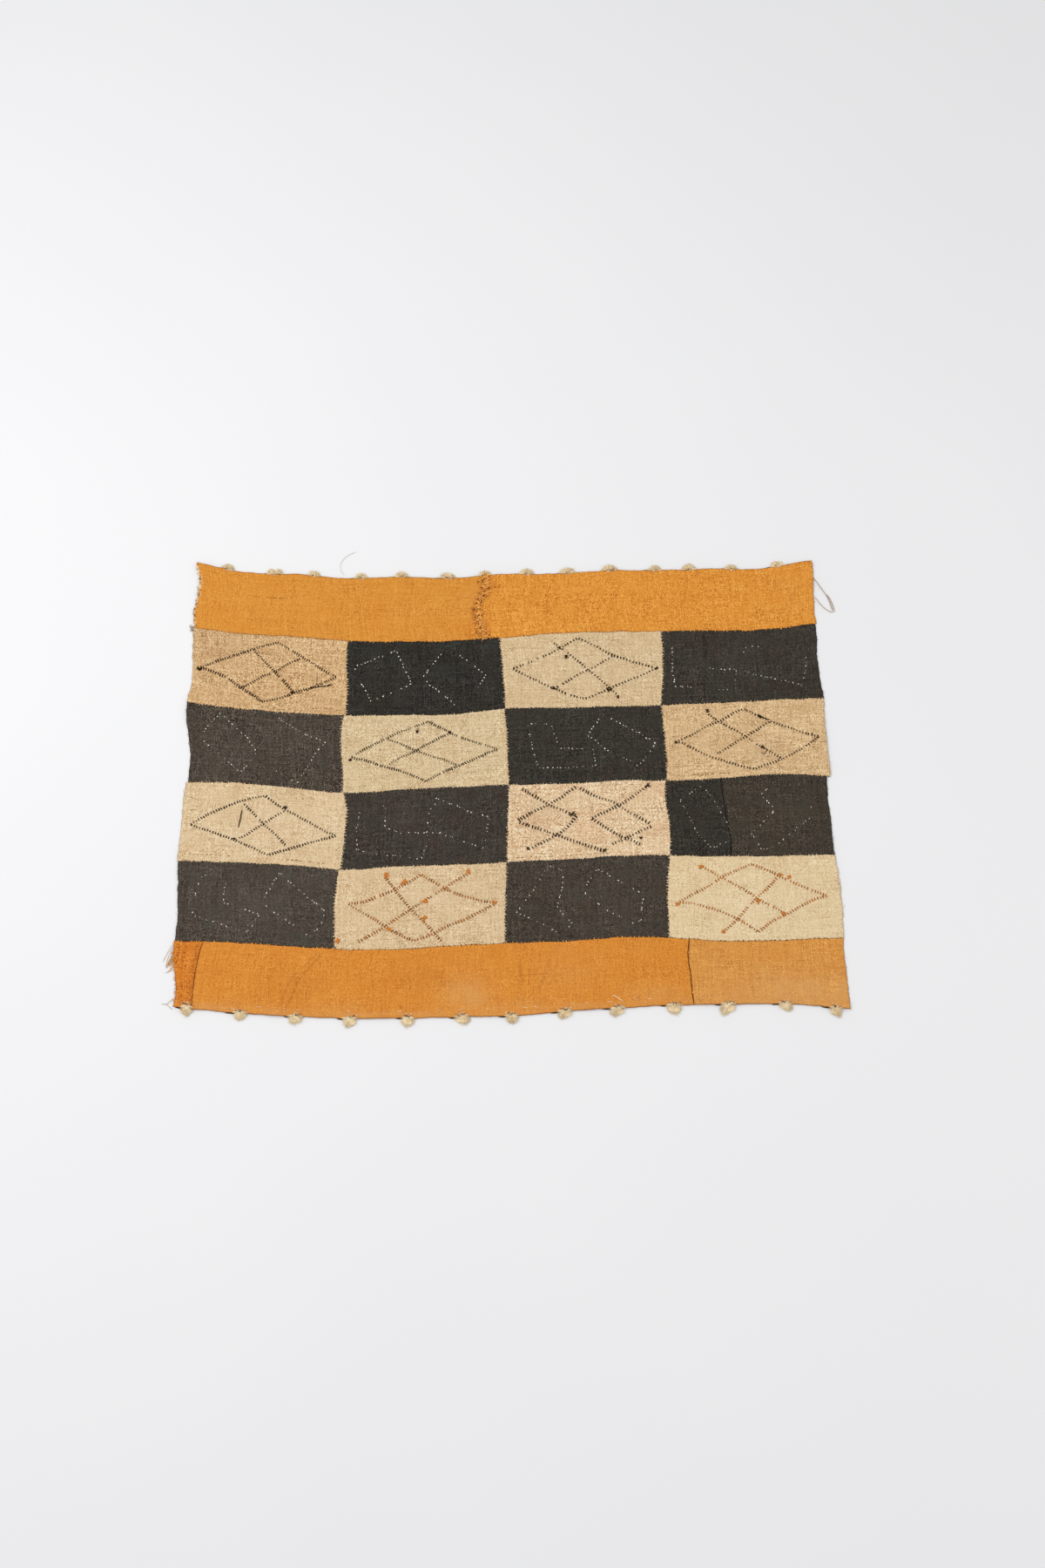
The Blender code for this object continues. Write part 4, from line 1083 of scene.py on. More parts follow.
# how light each dark panel's running thread still is
THREAD_LIGHT = {"panel_1_2": .95, "panel_1_4": .52, "panel_2_1": .52, "panel_2_3": .60, "panel_3_2": .56,
                "panel_3_4": .44, "panel_4_1": .56, "panel_4_3": .58}
for k, (piece, closed, corners) in enumerate(RUNNINGS):
    w, h = panel_size(piece)
    r = np.random.RandomState(1700 + k)
    x, y, d, _ = walk(np.array(corners) * np.array([w, h]), 7.6, 0.34, 1750 + k, closed)
    keep = r.rand(len(x)) < 0.86
    x, y, d = x[keep], y[keep], d[keep]
    n = len(x)
    a = np.arctan2(d[:, 1], d[:, 0]) + r.normal(0, 0.6, n)
    along = np.stack([np.cos(a), np.sin(a), np.zeros(n)], -1)
    centre = top_at(piece, (x + r.normal(0, 0.6, n)) / w, (y + r.normal(0, 0.6, n)) / h)
    bright = THREAD_LIGHT[piece] + 0.30 * noise(x, y, 26, 77) + r.normal(0, 0.26, n)
    stitch(pale_work, centre, along, MM * r.uniform(1.6, 3.2, n), MM * r.uniform(0.62, 1.02, n),
           0.60 * MM, np.clip(bright, 0.08, 1.05))

works = [dark_work.make("stitches_dark", DARK, "raffia_black"),
         rust_work.make("stitches_rust", RUST, "raffia_orange"),
         pale_work.make("stitches_pale", PALE, "raffia_natural")]

# ------------------------------------------------------------ seam threads
seam_dark, seam_light, seam_amber, seam_brown = Bundle(), Bundle(), Bundle(), Bundle()


def seam_ticks(bundle, piece, side, spacing, length, shift, seed, shade, fill=0.9, radius=0.6, lean=0.35,
               rise=0.5):
    """Overcasting along one edge of a piece.  side is far, near, left or
    right; shift moves the ticks from the seam into the piece, in mm."""
    w, h = panel_size(piece)
    r = np.random.RandomState(seed)
    run = w if side in ("far", "near") else h
    n = int(run / spacing)
    t = (np.arange(n) + 0.5 + r.uniform(-0.25, 0.25, n)) / n
    t = t[r.rand(n) < fill]
    n = len(t)
    off = shift + r.normal(0, 0.35, n)
    if side == "far":
        u, v, a0 = t, 1 - off / h, np.pi / 2
    elif side == "near":
        u, v, a0 = t, off / h, np.pi / 2
    elif side == "left":
        u, v, a0 = off / w, t, 0.0
    else:
        u, v, a0 = 1 - off / w, t, 0.0
    a = a0 + lean * r.normal(1, 0.4, n)
    along = np.stack([np.cos(a), np.sin(a), np.zeros(n)], -1)
    centre = top_at(piece, np.clip(u, 0, 1), np.clip(v, 0, 1))
    stitch(bundle, centre, along, MM * length * r.uniform(0.6, 1.25, n), MM * radius * r.uniform(0.75, 1.2, n),
           rise * MM, r.uniform(*shade, n))


order = {}
for piece, (far, near, left, right, cloth, hem) in PIECES.items():
    order[piece] = cloth
seed = 2000
for piece, (far, near, left, right, cloth, hem) in PIECES.items():
    seed += 10
    if cloth == "black":
        # pale ticks of the neighbour's thread reach over the black
        if far == "far_border":
            seam_ticks(seam_amber, piece, "far", 7.2, 3.0, 0.4, seed, (0.45, 0.95), 0.70, 0.80, 0.12)
        else:
            seam_ticks(seam_light, piece, "far", 5.8, 2.2, 0.4, seed, (0.45, 1.0), 0.50, 0.62)
        if near == "near_border":
            seam_ticks(seam_amber, piece, "near", 7.8, 2.6, 0.3, seed + 1, (0.45, 0.95), 0.65, 0.75, 0.12)
        else:
            seam_ticks(seam_light, piece, "near", 5.8, 2.2, 0.4, seed + 1, (0.45, 1.0), 0.50, 0.62)
        if left not in FREE_EDGES and piece != "panel_3_4_right":
            seam_ticks(seam_light, piece, "left", 5.8, 2.6, 0.8, seed + 2, (0.5, 1.0), 0.75, 0.72)
        if right not in FREE_EDGES and piece != "panel_3_4_left":
            seam_ticks(seam_light, piece, "right", 5.8, 2.6, 0.8, seed + 3, (0.5, 1.0), 0.75, 0.72)
    if cloth == "natural":
        # dark overcasting bites into the natural panels
        if left not in FREE_EDGES:
            seam_ticks(seam_dark, piece, "left", 5.8, 2.8, 0.4, seed + 2, (0.0, 0.5), 0.80, 0.75)
        if right not in FREE_EDGES:
            seam_ticks(seam_dark, piece, "right", 5.8, 2.8, 0.4, seed + 3, (0.0, 0.5), 0.80, 0.75)
        if far != "far_border":
            seam_ticks(seam_dark, piece, "far", 6.6, 2.6, 0.2, seed + 4, (0.0, 0.6), 0.60, 0.70)
        else:
            seam_ticks(seam_brown, piece, "far", 7.7, 2.0, 0.2, seed + 4, (0.0, 0.8), 0.75, 0.62)
        if near != "near_border":
            seam_ticks(seam_dark, piece, "near", 6.6, 2.6, 0.2, seed + 5, (0.0, 0.6), 0.60, 0.70)
        else:
            seam_ticks(seam_brown, piece, "near", 9.2, 3.4, 1.0, seed + 5, (0.0, 0.6), 0.75, 0.40, 0.1)
            seam_ticks(seam_brown, piece, "near", 7.7, 1.6, 0.0, seed + 6, (0.0, 0.5), 0.75, 0.62)
    if cloth == "orange" and near == "far_border":
        seam_ticks(seam_amber, piece, "near", 8.2, 2.6, 1.6, seed + 7, (0.75, 1.0), 0.55, 0.70, 0.2)
    if cloth == "orange" and far == "near_border":
        seam_ticks(seam_amber, piece, "far", 8.2, 2.2, 1.4, seed + 7, (0.70, 1.0), 0.45, 0.60, 0.2)
seam_ticks(seam_dark, "panel_3_4_left", "right", 5.0, 3.0, 0.2, 2501, (0.0, 0.4), 0.9, 0.7)
seam_ticks(seam_amber, "near_border_right", "left", 6.0, 3.0, 1.2, 2502, (0.4, 0.9), 0.6, 0.5)
seam_ticks(seam_amber, "near_border_middle", "left", 5.0, 3.4, 1.2, 2503, (0.3, 0.8), 0.6, 0.55)


def join_line(bundle, line, far, near, radius, shade, height, seed, off=0.0):
    """The dark drawn-in line of a join between two cloths of one row."""
    v = np.linspace(0.01, 0.99, 34)
    x = line_x(line, v) + off
    yn, yf = line_y(near, x), line_y(far, x)
    y = yn + (yf - yn) * v
    piece = [name for name, row in PIECES.items() if row[3] == line][0]
    z = top_at(piece, np.full(34, 0.998), v)[:, 2] + height * MM
    path = np.stack([(x + SHIFT_X) * MM, (y + SHIFT_Y) * MM, z], -1)
    rad = radius * MM * (1 + 0.35 * noise(v * 140, 0, 7, seed))
    bundle.add(path[None], rad[None], np.array([0.0, 0.0, 1.0]), shade, 5, 0.7)


join_line(seam_dark, "row3_join", "rows_2_3", "rows_3_4", 0.75, 0.1, 0.1, 2511)
join_line(seam_brown, "near_join_2", "near_border", "near_hem", 0.66, 0.35, 0.05, 2512)
join_line(seam_brown, "near_join_1", "near_border", "near_hem", 0.72, 0.90, 0.45, 2513)

# running thread of the near hem: pale dashes, some gone
for piece, spacing, fill, sd in (("near_border_middle", 21, .50, 2601), ("near_border_right", 18, .45, 2602),
                                 ("near_border_end", 15, .5, 2603)):
    w, h = panel_size(piece)
    r = np.random.RandomState(sd)
    n = int(w / spacing)
    t = (np.arange(n) + 0.5 + r.uniform(-0.2, 0.2, n)) / n
    t = t[r.rand(n) < fill]
    n = len(t)
    a = r.normal(0, 0.10, n)
    along = np.stack([np.cos(a), np.sin(a), np.zeros(n)], -1)
    centre = top_at(piece, t, (13.0 + r.normal(0, 0.6, n)) / h)
    stitch(seam_light, centre, along, MM * r.uniform(5.0, 8.5, n), MM * r.uniform(0.42, 0.62, n), 0.5 * MM,
           r.uniform(0.55, 1.0, n))

works += [seam_dark.make("seam_threads_dark", INK, "raffia_black"),
          seam_brown.make("seam_threads_brown", BROWN, "raffia_orange"),
          seam_light.make("seam_threads_natural", TAN, "raffia_natural"),
          seam_amber.make("seam_threads_amber", AMBER, "raffia_orange")]


# ------------------------------------------------------------- curled fibre
def curls(bundle, at, heading, size, turns, radius, shade, seed, k=9, lift=(0.2, 1.0), sides=4):
    """Loose curls of fibre: arcs that stand a little off the cloth.
    at (n, 3), heading (n,) angle, size (n,) arc radius, all in metres."""
    r = np.random.RandomState(seed)
    n = len(at)
    t = np.linspace(0, 1, k)[None, :]
    turn = np.broadcast_to(turns, (n,))[:, None]
    sgn = np.where(r.rand(n) < 0.5, 1.0, -1.0)[:, None]
    ang = heading[:, None] + sgn * turn * t
    step = (size[:, None] * np.abs(turn)) / (k - 1)
    dx = np.cumsum(np.cos(ang), 1) * step
    dy = np.cumsum(np.sin(ang), 1) * step
    up = r.uniform(*lift, n)[:, None] * size[:, None] * np.sin(np.pi * t) ** 0.8
    path = at[:, None, :] + np.stack([dx - dx[:, :1], dy - dy[:, :1], up], -1)
    rad = np.broadcast_to(radius, (n,))[:, None] * (1 - 0.45 * t)
    ref = np.tile(np.array([0.0, 0.0, 1.0]), (n, 1)) + r.normal(0, 0.15, (n, 3))
    bundle.add(path, rad, ref, shade, sides)


# the frayed join of the far border
fray = Bundle()
w_l, h_l = panel_size("far_border_left")
w_r, _ = panel_size("far_border_right")


def fray_places(count, seed, spread, lift):
    """Places in the torn strip: crisp on its right side, straggling on its
    left, wide at both hems and narrow between them."""
    r = np.random.RandomState(seed)
    v = r.uniform(0.0, 0.985, count)
    to_left = np.interp(v, [0, 0.10, 0.25, 0.50, 0.75, 1.0], [17, 15, 8, 8, 10, 11])
    to_right = np.interp(v, [0, 0.10, 0.25, 0.50, 0.75, 1.0], [14, 11, 6, 6, 9, 10])
    side = r.normal(0, spread, count)
    side = np.where(side < 0, side * to_left, np.minimum(side, 0.95) * to_right)
    pos = np.zeros((count, 3))
    lft = side < 0
    pos[lft] = top_at("far_border_left", 1 + side[lft] / w_l, v[lft])
    pos[~lft] = top_at("far_border_right", side[~lft] / w_r, v[~lft])
    pos[:, 2] += MM * r.uniform(0.0, lift, count) * np.exp(-(side / 8) ** 2)
    return r, v, side, pos


# dark curls underneath as painted shade between the loops, then thick loops, then fine ones
r, v, side, pos = fray_places(220, 3003, 0.42, 0.1)
n = len(v)
curls(fray, pos, r.uniform(0, 2 * np.pi, n), MM * r.uniform(1.4, 2.8, n), r.uniform(1.6, 3.4, n),
      MM * r.uniform(0.60, 0.90, n), r.uniform(-0.60, 0.10, n), 3005, k=8, lift=(0.0, 0.1), sides=4)
r, v, side, pos = fray_places(230, 3001, 0.44, 1.6)
n = len(v)
pos[:, 2] += 0.9 * MM
upright = np.where(r.rand(n) < 0.5, 1.9, -1.2)
curls(fray, pos, upright + r.normal(0, 0.65, n), MM * r.uniform(2.4, 5.0, n), r.uniform(0.9, 2.6, n),
      MM * r.uniform(0.58, 0.86, n), np.clip(r.normal(0.92, 0.28, n), 0.1, 1.3), 3002, k=11, lift=(0.2, 0.7), sides=5)
r, v, side, pos = fray_places(150, 3007, 0.60, 2.0)
n = len(v)
pos[:, 2] += 0.7 * MM
curls(fray, pos, r.uniform(0, 2 * np.pi, n), MM * r.uniform(1.4, 3.6, n), r.uniform(1.2, 3.8, n),
      MM * r.uniform(0.34, 0.52, n), np.clip(r.normal(1.05, 0.25, n), 0.3, 1.4), 3008, k=10, lift=(0.4, 1.1))
works.append(fray.make("frayed_join", AMBER, "raffia_orange"))

# short fibres along the free edges
fray_marks = Bundle()
edge_fray = {"natural": Bundle(), "black": Bundle(), "orange": Bundle()}
for k, (piece, (far, near, left, right, cloth, hem)) in enumerate(PIECES.items()):
    for side_name, line in (("left", left), ("right", right)):
        if line not in FREE_EDGES:
            continue
        w, h = panel_size(piece)
        r = np.random.RandomState(3100 + k * 2 + (side_name == "right"))
        n = int(h / {"natural": 2.6, "black": 3.4, "orange": 3.2}[cloth])
        v = r.rand(n)
        u = np.full(n, 0.3 / w) if side_name == "left" else np.full(n, 1 - 0.3 / w)
        pos = top_at(piece, u, v)
        pos[:, 2] *= r.uniform(0.3, 0.9, n)
        out = np.pi if side_name == "left" else 0.0
        size = MM * r.gamma(2.2, 0.55, n)
        curls(edge_fray[cloth], pos, out + r.normal(0, 0.6, n), size, r.uniform(0.8, 2.6, n),
              MM * r.uniform(0.14, 0.28, n), r.uniform(0.2, 1.0, n), 3200 + k, k=6, lift=(-0.15, 0.25), sides=3)
# curls down the left edge of both borders, and tangled ones at the far left
for piece, count, sizes, sd in (("far_border_left", 46, (1.2, 3.2), 3301), ("near_border_end", 120, (0.9, 2.8), 3302)):
    w, h = panel_size(piece)
    r = np.random.RandomState(sd)
    v = r.uniform(0.08, 0.96, count)
    pos = top_at(piece, np.full(count, 0.2 / w), v)
    pos[:, 2] *= 0.7
    curls(edge_fray["orange"], pos, np.pi + r.normal(0, 0.7, count), MM * r.uniform(*sizes, count),
          r.uniform(2.0, 4.6, count), MM * r.uniform(0.2, 0.38, count), r.uniform(0.1, 0.9, count), sd + 5,
          k=9, lift=(-0.1, 0.4))
# cream and brown overcast loops down the left end of the far border
w, h = panel_size("far_border_left")
r = np.random.RandomState(3401)
n = 64
v = np.clip(np.linspace(0.04, 0.93, n) + r.normal(0, 0.012, n), 0, 1)
pos = top_at("far_border_left", np.clip(r.normal(1.2, 1.4, n), 0.1, 4.0) / w, v)
pos[:, 2] *= 0.9
a = r.normal(0.35, 0.45, n)
stitch(edge_fray["natural"], pos, np.stack([np.cos(a), np.sin(a), np.zeros(n)], -1), MM * r.uniform(2.2, 4.6, n),
       MM * r.uniform(0.45, 0.80, n), 0.5 * MM, np.where(r.rand(n) < 0.30, r.uniform(-0.5, 0.2, n), r.uniform(0.9, 1.4, n)))
curls(edge_fray["natural"], pos[::2] - np.array([0.8, 0, 0]) * MM, np.pi + r.normal(0, 0.9, n // 2),
      MM * r.uniform(0.8, 1.9, n // 2), r.uniform(2.0, 4.6, n // 2), MM * r.uniform(0.25, 0.48, n // 2),
      np.where(r.rand(n // 2) < 0.45, -0.6, 0.95), 3403, k=8, lift=(-0.1, 0.4))
overcast = Bundle()
for n, low, far_end, out, tones, sd in ((52, 0.42, 0.94, (1.9, 3.6), (0.15, 1.0), 3411), (30, 0.05, 0.45, (1.2, 2.2), (0.1, 0.8), 3415)):
    v = np.clip(np.linspace(low, far_end, n) + r.normal(0, 0.008, n), 0, 1)
    pos = top_at("far_border_left", np.full(n, 0.3 / w), v)
    pos[:, 2] *= 0.9
    curls(overcast, pos, np.pi + r.normal(0, 0.45, n), MM * r.uniform(*out, n), r.uniform(1.3, 2.9, n),
          MM * r.uniform(0.50, 0.85, n), np.where(r.rand(n) < 0.42, tones[0], tones[1]) + r.normal(0, 0.1, n), sd,
          k=9, lift=(-0.1, 0.3), sides=5)
works.append(overcast.make("overcast_loops", TAN, "raffia_natural"))
# a line of old needle marks along the far border, and brown ends of thread
# on the worn piece at the near left
sew_line(fray_marks, "far_border_left", np.array([(.19, .62), (.34, .60)]), 3421, 4.4, 2.0, 0.36, 12, 0.70, (0.4, 1.2), 0.6)
for count, low, sd in ((26, .60, 3425), (10, .12, 3426)):
    r = np.random.RandomState(sd)
    pos = top_at("near_border_end", r.uniform(0.04, 0.96, count), r.uniform(low, 0.97, count))
    curls(fray_marks, pos, r.uniform(0, 6.28, count), MM * r.uniform(0.6, 1.7, count), r.uniform(1.2, 3.8, count),
          MM * r.uniform(0.22, 0.38, count), r.uniform(0.4, 1.3, count), sd + 5, k=7, lift=(0.1, 0.5))
    pos = top_at("near_border_end", r.uniform(0.04, 0.96, count), r.uniform(low, 0.97, count))
    curls(edge_fray["orange"], pos, r.uniform(0, 6.28, count), MM * r.uniform(0.6, 1.6, count), r.uniform(1.2, 3.8, count),
          MM * r.uniform(0.24, 0.42, count), r.uniform(0.7, 1.1, count), sd + 9, k=7, lift=(0.1, 0.6))
works.append(fray_marks.make("needle_marks", BROWN, "raffia_orange"))
# a tangle at its near end
pos = np.stack([(SHIFT_X - 609 + r.normal(0, 2.4, 26)), (SHIFT_Y + 303 + r.normal(0, 5.0, 26)),
                r.uniform(0.5, 1.8, 26)], -1) * MM
curls(edge_fray["natural"], pos, r.uniform(0, 6.28, 26), MM * r.uniform(1.0, 2.4, 26), r.uniform(2.0, 4.8, 26),
      MM * r.uniform(0.26, 0.42, 26), np.where(r.rand(26) < 0.6, -0.5, 0.5), 3405, k=8, lift=(-0.1, 0.3))
works.append(edge_fray["natural"].make("edge_fibres_natural", TAN, "raffia_natural"))
works.append(edge_fray["black"].make("edge_fibres_black", INK, "raffia_black"))
works.append(edge_fray["orange"].make("edge_fibres_orange", AMBER, "raffia_orange"))


# -------------------------------------------------------------------- tufts
def hem_at(hem, x):
    """Hem edge y and outward direction at x, in mm."""
    name = "far_hem" if hem == "far" else "near_hem"
    y = float(line_y(name, np.array([x]))[0])
    slope = float((line_y(name, np.array([x + 6.0])) - line_y(name, np.array([x - 6.0])))[0] / 12.0)
    side = 1.0 if hem == "far" else -1.0
    out = np.array([-slope, 1.0]) * side
    return y, out / np.linalg.norm(out)


def hem_piece(hem, x):
    for piece, row in PIECES.items():
        if row[5] != hem:
            continue
        v = np.array([1.0 if hem == "far" else 0.0])
        x0, x1 = float(line_x(row[2], v)[0]), float(line_x(row[3], v)[0])
        if x0 <= x <= x1:
            return piece, (x - x0) / (x1 - x0)
    return None, 0.0


def hem_height(hem, x, inside):
    """Upper height of the cloth, inside mm in from the hem edge."""
    piece, u = hem_piece(hem, x)
    if piece is None:
        return 0.0
    _, h = panel_size(piece)
    v = 1 - inside / h if hem == "far" else inside / h
    return float(surfaces(piece, np.array([u]), np.array([v]))[3][0])


def build_tuft(node, hem, number, row):
    x, width, depth, stand, height = row
    y, out = hem_at(hem, x)
    tang = np.array([out[1], -out[0]])
    r = np.random.RandomState(4000 + number + (500 if hem == "far" else 0))
    bundle = Bundle()
    near = hem == "near"
    past = (0.92 if near else 0.84) * (stand + depth / 2)       # how far the fibres reach past the hem
    over = (8.5 if number == 1 else 5.2) if near else 0.8    # and how far they lie on it
    cloth_z = hem_height(hem, x, 3.0)
    lobes = [(-0.22, 0.50), (0.22, 0.50)] if width >= 33 else [(0.0, 1.0)]
    if not near and number == 2:
        lobes = [(-0.32, 0.48), (0.06, 0.40)]

    def spot(al, ot, zz):
        px = x + tang[0] * al + out[0] * ot
        py = y + tang[1] * al + out[1] * ot
        return np.stack([(px + SHIFT_X) * MM, (py + SHIFT_Y) * MM, zz * MM], -1)

    for lobe, share in lobes:
        w = width * share
        mid = lobe * width
        rise = height * r.uniform(0.70, 0.82)
        bundle.lump(spot(mid, past * 0.40 - 0.5, rise * 0.26), np.array([w * 0.36, past * 0.44, rise * 0.36]) * MM,
                    11 + number, 0.74, floor=0.0002)
        # a fan: fibres leave the binding and curl out and down, some of them
        # straggling past the rest
        n = int(240 * share + 20)
        full = np.where(r.rand(n) < 0.14, r.uniform(1.0, 1.18, n), 0.50 + 0.50 * r.rand(n) ** 0.6)
        if near:
            # widest at the hem edge, drawn to a point where it is tied
            phi = np.clip(r.normal(0, 1.15, n), -2.9, 2.9)
            half = w * 0.48 * np.where(np.abs(phi) > 1.57, 1 - 0.42 * (np.abs(phi) - 1.57) / 1.33, 1.0)
            # each tuft hangs to its own side and ends in a loose point
            hang, point = r.uniform(-0.30, 0.30) * w, r.uniform(0.10, 0.34)
            down = np.maximum(np.cos(phi), 0)
            end_al = mid + half * np.sin(phi) * full * (1 - point * down) + hang * down * full
            end_ot = np.where(np.abs(phi) > 1.57, over, past * (1 + 0.5 * point)) * np.cos(phi) * full + r.normal(0, 0.5, n)
            start_al = mid + (end_al - mid) * r.uniform(0.0, 0.35, n) + r.normal(0, 0.8, n)
            start_ot = -over * 0.45 + r.uniform(-1.5, 2.0, n)
        else:
            # a half dome that sits with its whole width on the hem edge
            phi = r.uniform(-1.62, 1.62, n)
            end_al = mid + w * 0.52 * np.sin(phi) * full
            end_ot = -over + (past + over) * np.cos(phi) * full + r.normal(0, 0.3, n)
            start_al = mid + w * 0.50 * np.sin(phi) * r.uniform(0.1, 0.85, n) + r.normal(0, 0.5, n)
            start_ot = r.uniform(-1.3, 0.8, n)
        # fibres lie in locks, lighter and darker
        locks = noise(phi * 2.6 + number, lobe * 9, 1.0, 60 + number)
        k = 7
        t = np.linspace(0, 1, k)[None, :]
        al = start_al[:, None] + (end_al - start_al)[:, None] * t ** 0.9
        ot = start_ot[:, None] + (end_ot - start_ot)[:, None] * t
        z0 = (cloth_z + 0.6 if near else 1.6) + r.uniform(-0.1, 1.1, n)
        on_hem = end_ot < 0.5
        z1 = np.where(on_hem, cloth_z + 0.4, 0.35) + r.uniform(0.0, 2.6, n)
        hump = np.maximum(rise * (0.35 + 0.70 * r.rand(n)) * (1.15 - 0.45 * full) - z0, 0.5)
        zz = z0[:, None] * (1 - t) + z1[:, None] * t + hump[:, None] * np.sin(np.pi * t ** 0.85)
        curl_by = r.uniform(0.5, 1.25, n)[:, None]
        al = al + curl_by * t * np.sin(t * r.uniform(5, 13, n)[:, None] + r.uniform(0, 6.28, n)[:, None])
        ot = ot + curl_by * t * np.sin(t * r.uniform(5, 13, n)[:, None] + r.uniform(0, 6.28, n)[:, None])
        zz = np.clip(zz, 0.35, height + 1.0)
        rad = MM * r.uniform(0.22, 0.40, n)[:, None] * np.array([0.9, 1, 1, 1, 0.95, 0.8, 0.5])[None, :]
        shade = r.normal(0.82, 0.18, n) + 0.34 * locks - 0.35 * (r.rand(n) < 0.06)
        bundle.add(spot(al, ot, zz), rad, np.array([0.12, 0.15, 1.0]) + r.normal(0, 0.1, (n, 3)),
                   np.clip(shade, -0.3, 1.1), 3)
        # short crinkled fibres standing on the mound
        m = 46 if share == 1 else 30
        phi2, full2 = r.uniform(-3.1, 3.1, m), r.rand(m) ** 0.5 * 0.85
        al2 = mid + w * 0.46 * np.sin(phi2) * full2
        ot2 = past * 0.45 + past * 0.5 * np.cos(phi2) * full2
        at = spot(al2, ot2, np.clip(rise * (1.0 - 0.75 * full2 ** 2), 1.0, height))
        curls(bundle, at, r.uniform(0, 6.28, m), MM * r.uniform(0.7, 1.6, m), r.uniform(1.8, 4.6, m),
              MM * r.uniform(0.20, 0.34, m), np.clip(r.normal(0.80, 0.25, m), 0.0, 1.2), 4300 + number, k=6,
              lift=(0.0, 0.5), sides=3)
    # the binding: dark and brown thread ends, and a few pale loops beside them
    m = 11 if near else 7
    al = r.normal(0, width * 0.17, m)
    ot = (-over + r.uniform(0.0, 4.0, m)) if near else r.uniform(-1.6, 1.6, m)
    at = spot(al, ot, np.full(m, (cloth_z + 2.4) if near else (cloth_z + 0.4)))
    a = r.uniform(0, np.pi, m)
    stitch(bundle, at, np.stack([np.cos(a), np.sin(a), np.zeros(m)], -1), MM * r.uniform(1.4, 3.0, m),
           MM * r.uniform(0.42, 0.70, m), 0.6 * MM, r.uniform(-1.0, -0.35, m))
    m = 6
    at = spot(r.normal(0, width * 0.14, m), (-over + r.uniform(-1.2, 1.0, m)) if near else r.uniform(-3.4, -1.4, m),
              np.full(m, cloth_z + 0.5))
    curls(bundle, at, r.uniform(0, 6.28, m), MM * r.uniform(0.6, 1.3, m), r.uniform(2.5, 5.0, m),
          MM * r.uniform(0.34, 0.55, m), np.clip(r.normal(0.95, 0.2, m), 0, 1.1), 4400 + number, k=8, lift=(0.3, 0.9))
    obj = bundle.make(node.replace("tuft", "tassel"), STRAW, "raffia_tuft")
    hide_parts(node)
    return obj


tassels = []
for hem, rows in (("far", FAR_TUFTS), ("near", NEAR_TUFTS)):
    for number, row in enumerate(rows, 1):
        tassels.append(build_tuft("%s_tuft_%02d" % (hem, number), hem, number, row))

# dark strands that show beside the tufts, just outside the hem edge
ends = Bundle()
r = np.random.RandomState(4700)
for hem, rows, share in (("near", NEAR_TUFTS, 1.0), ("far", FAR_TUFTS, 0.6)):
    for x, width, depth, stand, height in rows:
        if r.rand() > share:
            continue
        side = -1.0
        xs = x + side * (width * 0.40 + np.linspace(0, r.uniform(9, 15), 6))
        name = "far_hem" if hem == "far" else "near_hem"
        ys = line_y(name, xs) + (0.5 if hem == "far" else -0.7)
        if hem == "far":
            ys = ys - 0.2
        zs = np.full(6, 1.0) + 0.3 * np.sin(np.linspace(0, 3, 6))
        path = np.stack([(xs + SHIFT_X) * MM, (ys + SHIFT_Y) * MM, zs * MM], -1)[None]
        ends.add(path, np.array([[0.6, 0.85, 0.9, 0.8, 0.6, 0.3]]) * MM, np.array([0, 0, 1.0]), 0.25, 5)
works.append(ends.make("dark_strands_at_tufts", INK, "raffia_black"))


# ------------------------------------------------------------ loose strands
def strand(bundle, points, radius, shade, k=26, sides=5):
    """A single loose strand through points (x, y, z) in mm."""
    p = np.asarray(points, float)
    seg = np.linalg.norm(np.diff(p, axis=0), axis=1)
    s = np.concatenate([[0], np.cumsum(seg)]) / seg.sum()
    t = np.linspace(0, 1, k)
    out = np.zeros((k, 3))
    for axis in range(3):
        coarse = np.interp(t, s, p[:, axis])
        for _ in range(3):
            coarse[1:-1] = (coarse[:-2] + 2 * coarse[1:-1] + coarse[2:]) / 4
        out[:, axis] = coarse
    out[:, 0] += SHIFT_X
    out[:, 1] += SHIFT_Y
    rad = radius * np.minimum(1, np.minimum(np.linspace(0, 6, k) + 0.5, np.linspace(6, 0, k) + 0.35))
    bundle.add((out * MM)[None], (rad * MM)[None], np.array([0.05, 0.03, 1.0]), shade, sides)


loose = Bundle()
# loops of thread at the far right corner
strand(loose, [(538, 411, 2.2), (547, 396, 3.0), (557, 380, 2.0), (566, 367, 1.0), (571, 351, 0.6), (575, 334, 0.5)], 0.62, 0.25)
strand(loose, [(565, 370, 1.2), (571, 361, 0.9), (575, 349, 0.6), (578, 335, 0.5)], 0.56, 0.20)
strand(loose, [(574, 334, 0.5), (568, 336, 0.8), (557, 344, 1.6), (549, 354, 2.6), (541, 366, 3.0)], 0.56, 0.30)
# threads at the near left corner
strand(loose, [(-601, -290, 1.8), (-610, -306, 1.0), (-617, -322, 0.5)], 0.4, 0.6)
strand(loose, [(-600, -296, 1.8), (-607, -310, 1.0), (-611, -324, 0.5)], 0.35, 0.45)
strand(loose, [(-594, -385, 2.0), (-605, -395, 0.9), (-614, -394, 0.5)], 0.4, 0.4)
strand(loose, [(-605, -395, 0.7), (-594, -404, 0.5)], 0.35, 0.4, 12)
amber_loose = Bundle()
